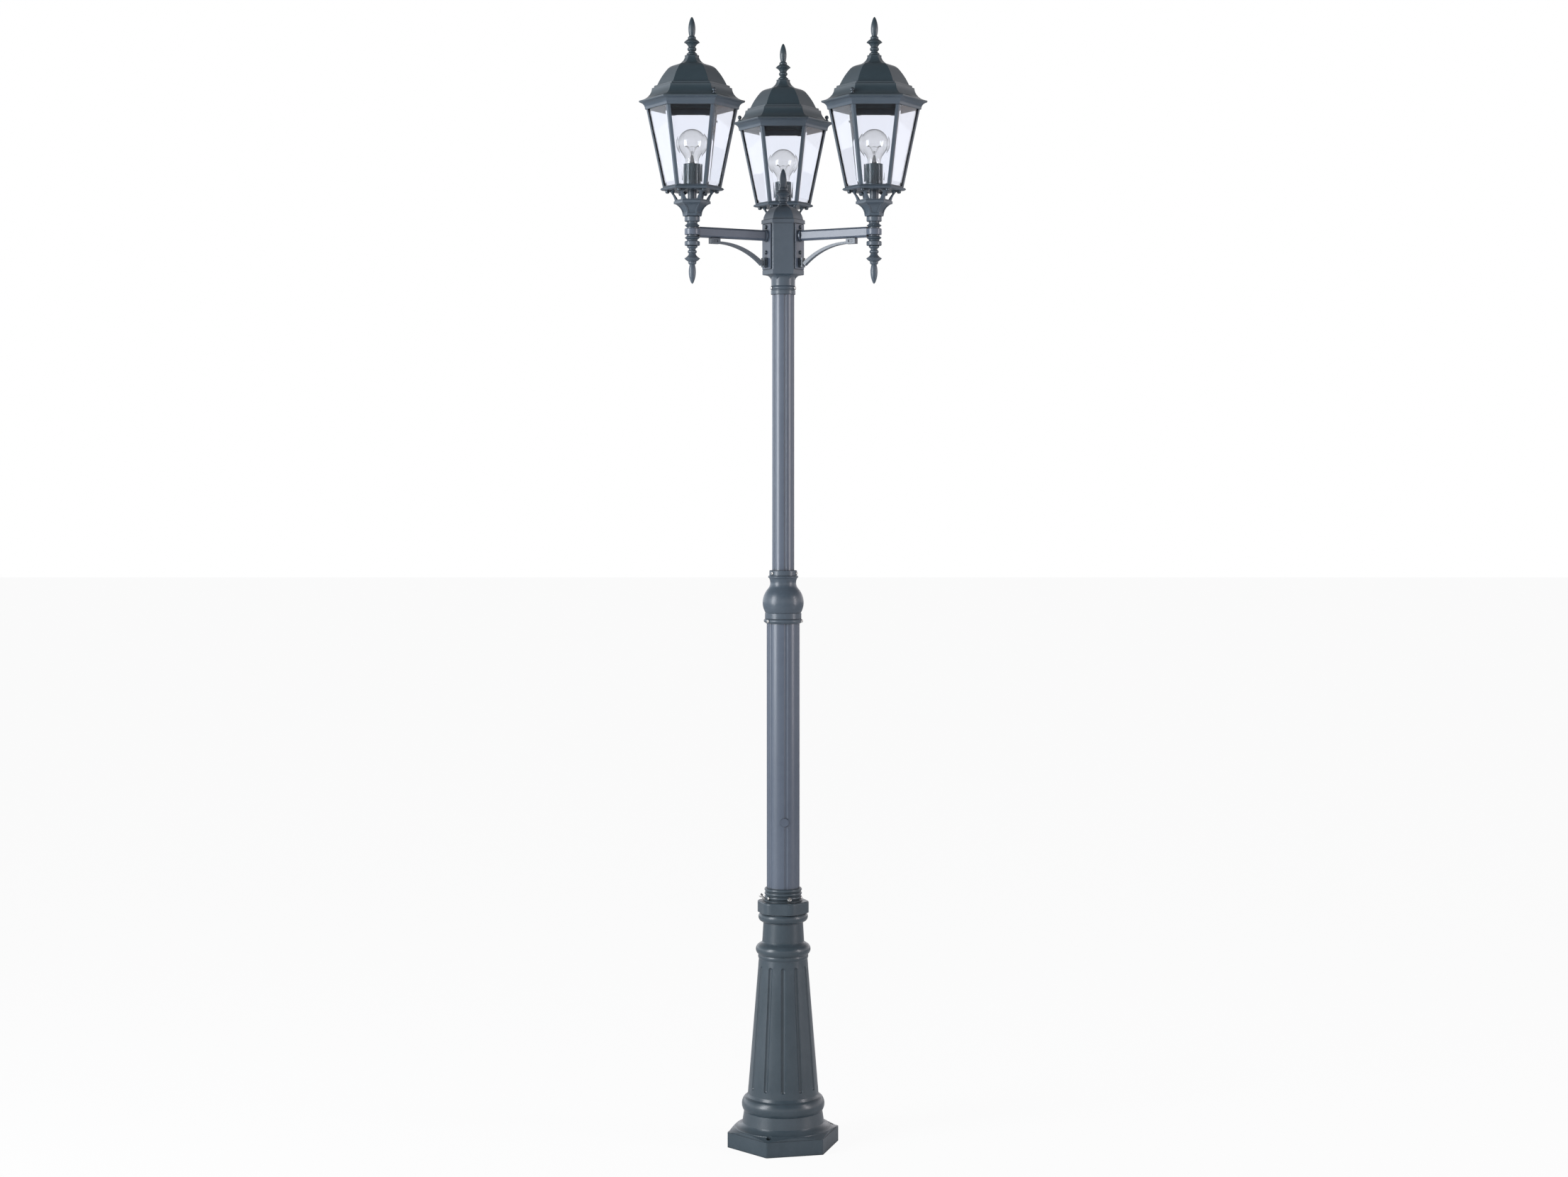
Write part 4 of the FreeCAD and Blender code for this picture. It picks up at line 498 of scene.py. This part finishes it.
def inset_loop(loop, width):
    """The loop moved inwards by a width in its own plane."""
    count = len(loop)
    normal = (loop[1] - loop[0]).cross(loop[3] - loop[0]).normalized()
    moved = []
    for k, corner in enumerate(loop):
        before = (corner - loop[k - 1]).normalized()
        after = (loop[(k + 1) % count] - corner).normalized()
        inwards = normal.cross(before) + normal.cross(after)
        moved.append(corner + inwards * width / (1 + before.dot(after)))
    return moved


def add_pane(mesh, front, back):
    """Pane with a flat middle and a ground bevel round its front."""
    normal = (front[0] - back[0]).normalized()
    rim = [mesh.verts.new(point - normal * BEVEL_DROP) for point in front]
    flat = [mesh.verts.new(point) for point in inset_loop(front, BEVEL_WIDTH)]
    rear = [mesh.verts.new(point) for point in back]
    mesh.faces.new(flat)
    mesh.faces.new(rear[::-1])
    for low, high in ((rim, flat), (rear, rim)):
        for k in range(4):
            after = (k + 1) % 4
            mesh.faces.new([low[k], low[after], high[after], high[k]])


def bevelled_panes(lantern, glass):
    """The six bevelled panes of a lantern."""
    mesh = bmesh.new()
    axis = axis_of(lantern + "_lamp_socket")
    for corners in slabs_of(lantern + "_panes"):
        front, back = pane_loops(corners, axis)
        add_pane(mesh, front, back)
    return piece_from(lantern + "_bevelled_panes", mesh, glass, POST,
                      [lantern + "_panes"])


# ---------------------------------------------------------------------------
# Bulbs
# ---------------------------------------------------------------------------

def envelope(low, high, radius, neck, inset):
    """Outline of a pear-shaped bulb from its neck up to its top, less an inset."""
    ball = radius - inset
    centre = high - radius
    meet = math.radians(SHOULDER_ANGLE)
    joint = (ball * math.cos(meet), centre + ball * math.sin(meet))
    slope = (math.sin(meet), -math.cos(meet))
    run = (centre - low) * 0.36
    ends = ((neck - inset, low), (neck - inset + 0.0004, low + run),
            (joint[0] + slope[0] * run, joint[1] + slope[1] * run), joint)
    outline = [curve_point(ends, k / 14) for k in range(14)]
    for k in range(19):
        angle = meet + (math.pi / 2 - meet) * k / 18
        outline.append((ball * math.cos(angle), centre + ball * math.sin(angle)))
    outline[-1] = (0.0, outline[-1][1])
    return outline


def bulb_envelope(lantern, glass):
    """Blown glass envelope with a wall, open at the neck where the cap holds it."""
    low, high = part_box(lantern + "_bulb_glass")
    radius = (high.x - low.x) / 2
    neck = radius * NECK_SHARE
    centre = axis_of(lantern + "_bulb_glass")
    mesh = bmesh.new()
    outer = lathe(mesh, envelope(low.z, high.z, radius, neck, 0.0), centre)
    inner = lathe(mesh, envelope(low.z, high.z, radius, neck, GLASS_WALL), centre)
    close_ring(mesh, outer[0], inner[0])
    return piece_from(lantern + "_bulb_envelope", mesh, glass, lantern + "_bulb_body",
                      [lantern + "_bulb_glass"])


def bulb_screw_cap(lantern, metal):
    """Screw cap with a rolled thread."""
    low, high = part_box(lantern + "_bulb_cap")
    radius = (high.x - low.x) / 2
    thread_low, thread_high = low.z + 0.0075, high.z - 0.0045

    def ripple(angle, height):
        from_ends = min(height - thread_low, thread_high - height)
        fade = min(1.0, max(0.0, from_ends / THREAD_RUN_OUT))
        wave = 0.5 + 0.5 * math.cos(angle - 2 * math.pi * (height - low.z) / CAP_THREAD_PITCH)
        return -CAP_THREAD_DEPTH * wave * fade

    steps = 44
    length = thread_high - thread_low
    wall = [(radius - 0.0002, thread_low + length * k / steps) for k in range(steps + 1)]
    profile = [(0.0052, low.z + 0.0042), (0.0088, low.z + 0.0044), (radius - 0.0022, low.z + 0.0062)]
    profile += wall
    profile += [(radius - 0.0001, high.z - 0.003), (radius - 0.0001, high.z), (radius - 0.001, high.z)]
    profile += [(radius - 0.0018, thread_high), (radius - 0.0018, thread_low), (0.0052, low.z + 0.0052)]
    mesh = bmesh.new()
    rings = lathe(mesh, profile, axis_of(lantern + "_bulb_cap"), 60, ripple)
    close_ring(mesh, rings[0], rings[-1])
    return piece_from(lantern + "_bulb_screw_cap", mesh, metal, lantern + "_bulb_body",
                      [lantern + "_bulb_cap"])


def bulb_contact(lantern, black, metal):
    """Black glass insulator of the cap and its soldered centre contact."""
    low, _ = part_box(lantern + "_bulb_cap")
    centre = axis_of(lantern + "_bulb_cap")
    body = lantern + "_bulb_body"
    mesh = bmesh.new()
    lathe(mesh, [(0.0, low.z + 0.0012), (0.0046, low.z + 0.0014), (0.0062, low.z + 0.0024),
                 (0.0088, low.z + 0.0042), (0.0, low.z + 0.0043)], centre, 48)
    piece_from(lantern + "_bulb_insulator", mesh, black, body)
    mesh = bmesh.new()
    lathe(mesh, [(0.0, low.z + 0.0001), (0.0022, low.z + 0.0003), (0.0036, low.z + 0.0009),
                 (0.0040, low.z + 0.0014), (0.0, low.z + 0.0016)], centre, 40)
    piece_from(lantern + "_bulb_contact", mesh, metal, body)


def bulb_stem(lantern, glass):
    """Flared glass stem with its pinch and a button on top; gives the button's height."""
    low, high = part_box(lantern + "_bulb_glass")
    centre = axis_of(lantern + "_bulb_glass")
    foot = low.z + 0.0012
    top = high.z - STEM_DROP
    mesh = bmesh.new()
    outline = [(0.0, foot), (0.0118, foot), (0.0098, foot + 0.003), (0.0062, foot + 0.009),
               (STEM_RADIUS, foot + 0.015), (STEM_RADIUS * 0.8, top - 0.012),
               (STEM_RADIUS * 0.42, top - 0.008),
               (STEM_RADIUS * 0.36, top - 0.003), (STEM_RADIUS * 0.62, top - 0.0015),
               (STEM_RADIUS * 0.5, top), (0.0, top + 0.0005)]
    lathe(mesh, outline, centre, 36)
    piece_from(lantern + "_bulb_stem", mesh, glass, lantern + "_bulb_body")
    return top


def filament(lantern, metal, button):
    """Coiled filament in an arc, its two lead wires and three supports."""
    centre = axis_of(lantern + "_bulb_glass")
    body = lantern + "_bulb_body"
    height = button + COIL_RISE
    start, end = math.radians(COIL_START), math.radians(COIL_END)

    def at(angle, radius, z):
        return Vector((centre.x + radius * math.cos(angle), centre.y + radius * math.sin(angle), z))

    steps = COIL_TURNS * COIL_STEPS
    coil = []
    for k in range(steps + 1):
        share = k / steps
        angle = start + (end - start) * share
        sag = COIL_SAG * math.sin(share * math.pi * 4) ** 2
        turn = 2 * math.pi * COIL_TURNS * share
        coil.append(at(angle, COIL_RING + COIL_RADIUS * math.cos(turn),
                       height - sag + COIL_RADIUS * math.sin(turn)))
    wire(lantern + "_filament", coil, WIRE_RADIUS * 0.6, metal, body)
    for number, angle in enumerate((start, end), start=1):
        path = [at(angle, 0.0016, button - 0.014), at(angle, 0.0022, button - 0.006),
                at(angle, COIL_RING * 0.55, button + 0.004), at(angle, COIL_RING, height)]
        wire(lantern + "_lead_wire_" + str(number), path, WIRE_RADIUS * 1.3, metal, body)
    for number in range(3):
        angle = start + (end - start) * (number + 1) / 4
        path = [at(angle, 0.0006, button - 0.001), at(angle, COIL_RING * 0.5, button + 0.006),
                at(angle, COIL_RING, height - 0.0005), at(angle, COIL_RING + 0.0009, height + 0.0008)]
        wire(lantern + "_support_wire_" + str(number + 1), path, WIRE_RADIUS * 0.8, metal, body)


# ---------------------------------------------------------------------------
# Carried nodes
# ---------------------------------------------------------------------------

def finish_node(node, material):
    """Gives a carried node its finish."""
    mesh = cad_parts[node].data
    mesh.materials.clear()
    mesh.materials.append(material)


# ---------------------------------------------------------------------------
# Studio
# ---------------------------------------------------------------------------

def make_camera():
    data = bpy.data.cameras.new("camera")
    data.lens = LENS
    data.sensor_width = 36.0
    data.clip_start = 0.05
    data.clip_end = 200.0
    camera = bpy.data.objects.new("camera", data)
    camera.location = (CAMERA_ASIDE, -CAMERA_BACK, CAMERA_HEIGHT)
    camera.rotation_euler = (math.radians(90 - CAMERA_DIP), 0.0, 0.0)
    bpy.context.collection.objects.link(camera)
    bpy.context.scene.camera = camera


def softbox(name, place, width, height, power, colour):
    """Soft rectangular light that faces the middle of the post."""
    data = bpy.data.lights.new(name, "AREA")
    data.shape = "RECTANGLE"
    data.size = width
    data.size_y = height
    data.energy = power
    data.color = colour
    light = bpy.data.objects.new(name, data)
    light.location = place
    light.rotation_euler = (Vector(LIGHT_AIM) - Vector(place)).to_track_quat("-Z", "Y").to_euler()
    bpy.context.collection.objects.link(light)


def make_world():
    """White room: bright at the height of the object and behind it, dim overhead."""
    world = bpy.data.worlds.new("studio")
    bpy.context.scene.world = world
    paint = Paint(world)
    toward = paint.node("TexCoord")
    up = paint.node("SeparateXYZ", None, {0: toward}, output=2)
    across = paint.node("SeparateXYZ", None, {0: toward}, output=0)
    along = paint.node("SeparateXYZ", None, {0: toward}, output=1)
    ceiling = paint.span(up, 0.10, 0.62)
    front = paint.span(along, 0.35, -0.95)
    level = (1 - ceiling * 0.88) * (1.35 - front * 0.25) * (1 + across * -0.20)
    tint = paint.blend(paint.span(across, -0.9, 0.9), ROOM_COOL, ROOM_WARM)
    glow = paint.node("Background", None, {"Color": tint, "Strength": level})
    white = paint.node("Background", None, {"Color": WHITE, "Strength": 1.0})
    both = paint.node("MixShader", None, {0: paint.in_sight(), 1: glow, 2: white})
    paint.node("OutputWorld", None, {"Surface": both})


def make_floor():
    half = FLOOR_SIZE / 2
    mesh = bmesh.new()
    square = ((-half, -half), (half, -half), (half, half), (-half, half))
    mesh.faces.new([mesh.verts.new((x, y, -FLOOR_DROP)) for x, y in square])
    data = bpy.data.meshes.new("floor")
    mesh.to_mesh(data)
    mesh.free()
    floor = bpy.data.objects.new("floor", data)
    floor.data.materials.append(floor_finish("pale_floor"))
    bpy.context.collection.objects.link(floor)


def make_studio():
    make_camera()
    make_world()
    make_floor()
    softbox("left_softbox", (-3.2, -2.0, 2.0), 1.4, 2.8, 125, COOL_LIGHT)
    softbox("right_softbox", (3.6, -1.2, 1.8), 0.7, 2.6, 45, WARM_LIGHT)
    view = bpy.context.scene.view_settings
    view.view_transform = "Standard"
    view.look = "None"


# ---------------------------------------------------------------------------
# The object
# ---------------------------------------------------------------------------

make_studio()

casting = powder_coat("cast_slate_coat", SLATE, SLATE_CORNER_SHADE, SLATE_RUBBED_AND_HIGHLIGHT, grain=0.8)
base_coat = powder_coat("base_slate_coat", BASE_SLATE, SLATE_CORNER_SHADE, BASE_RUBBED_AND_HIGHLIGHT,
                        grain=0.8, gloss=0.33, dust=0.12)
tubing = powder_coat("drawn_slate_coat", TUBE_SLATE, SLATE_CORNER_SHADE, TUBE_RUBBED_AND_HIGHLIGHT,
                     peel=0.00005, gloss=0.33, soft=0.0004)
roofing = powder_coat("roof_slate_coat", ROOF_SLATE, ROOF_CORNER_SHADE, SLATE, gloss=0.30, dust=0.12)
sleeve = powder_coat("sleeve_slate_coat", SLEEVE_SLATE, SLATE_CORNER_SHADE, SLATE, peel=0.00004,
                     gloss=0.26, dust=0.0, soft=0.0003)
zinc = bright_zinc("bright_zinc")
black_screw = dark_screw("dark_screw_paint")
glass = pane_glass("bevelled_pane_glass")
bulb_glass = blown_glass("bulb_glass")
nickel = cap_metal("nickel_cap")
porcelain = glazed("socket_porcelain_glaze", PORCELAIN, 0.18)
black_glass = glazed("black_cap_glass", CAP_GLASS, 0.10)
tungsten = fine_wire("tungsten_wire")

for node in ("base_casting", "base_collar"):
    finish_node(node, base_coat)
for node in ("ball_coupling", "hub_body", "hub_cap", "hub_finial"):
    finish_node(node, casting)
for node in ("lower_tube", "upper_tube", "tube_plug"):
    finish_node(node, tubing)
for node in ("base_clamp_screws", "small_set_screws", "tie_rods", "hub_bridge"):
    finish_node(node, zinc)
for node in ("arm_plate_screws", "basket_cap_nuts"):
    finish_node(node, black_screw)

for lantern in LANTERNS:
    finish_node(lantern + "_arm", tubing)
    for part in ("_brace", "_spindles", "_lower_finial", "_basket", "_cage"):
        finish_node(lantern + part, casting)
    for part in ("_roof", "_roof_finial"):
        finish_node(lantern + part, roofing)
    finish_node(lantern + "_socket_cover", sleeve)
    finish_node(lantern + "_lamp_socket", porcelain)
    for number in ("1", "2"):
        finish_node(lantern + "_roof_knob_" + number, black_screw)
    bevelled_panes(lantern, glass)
    bulb_envelope(lantern, bulb_glass)
    bulb_screw_cap(lantern, nickel)
    bulb_contact(lantern, black_glass, nickel)
    button = bulb_stem(lantern, bulb_glass)
    filament(lantern, tungsten, button)
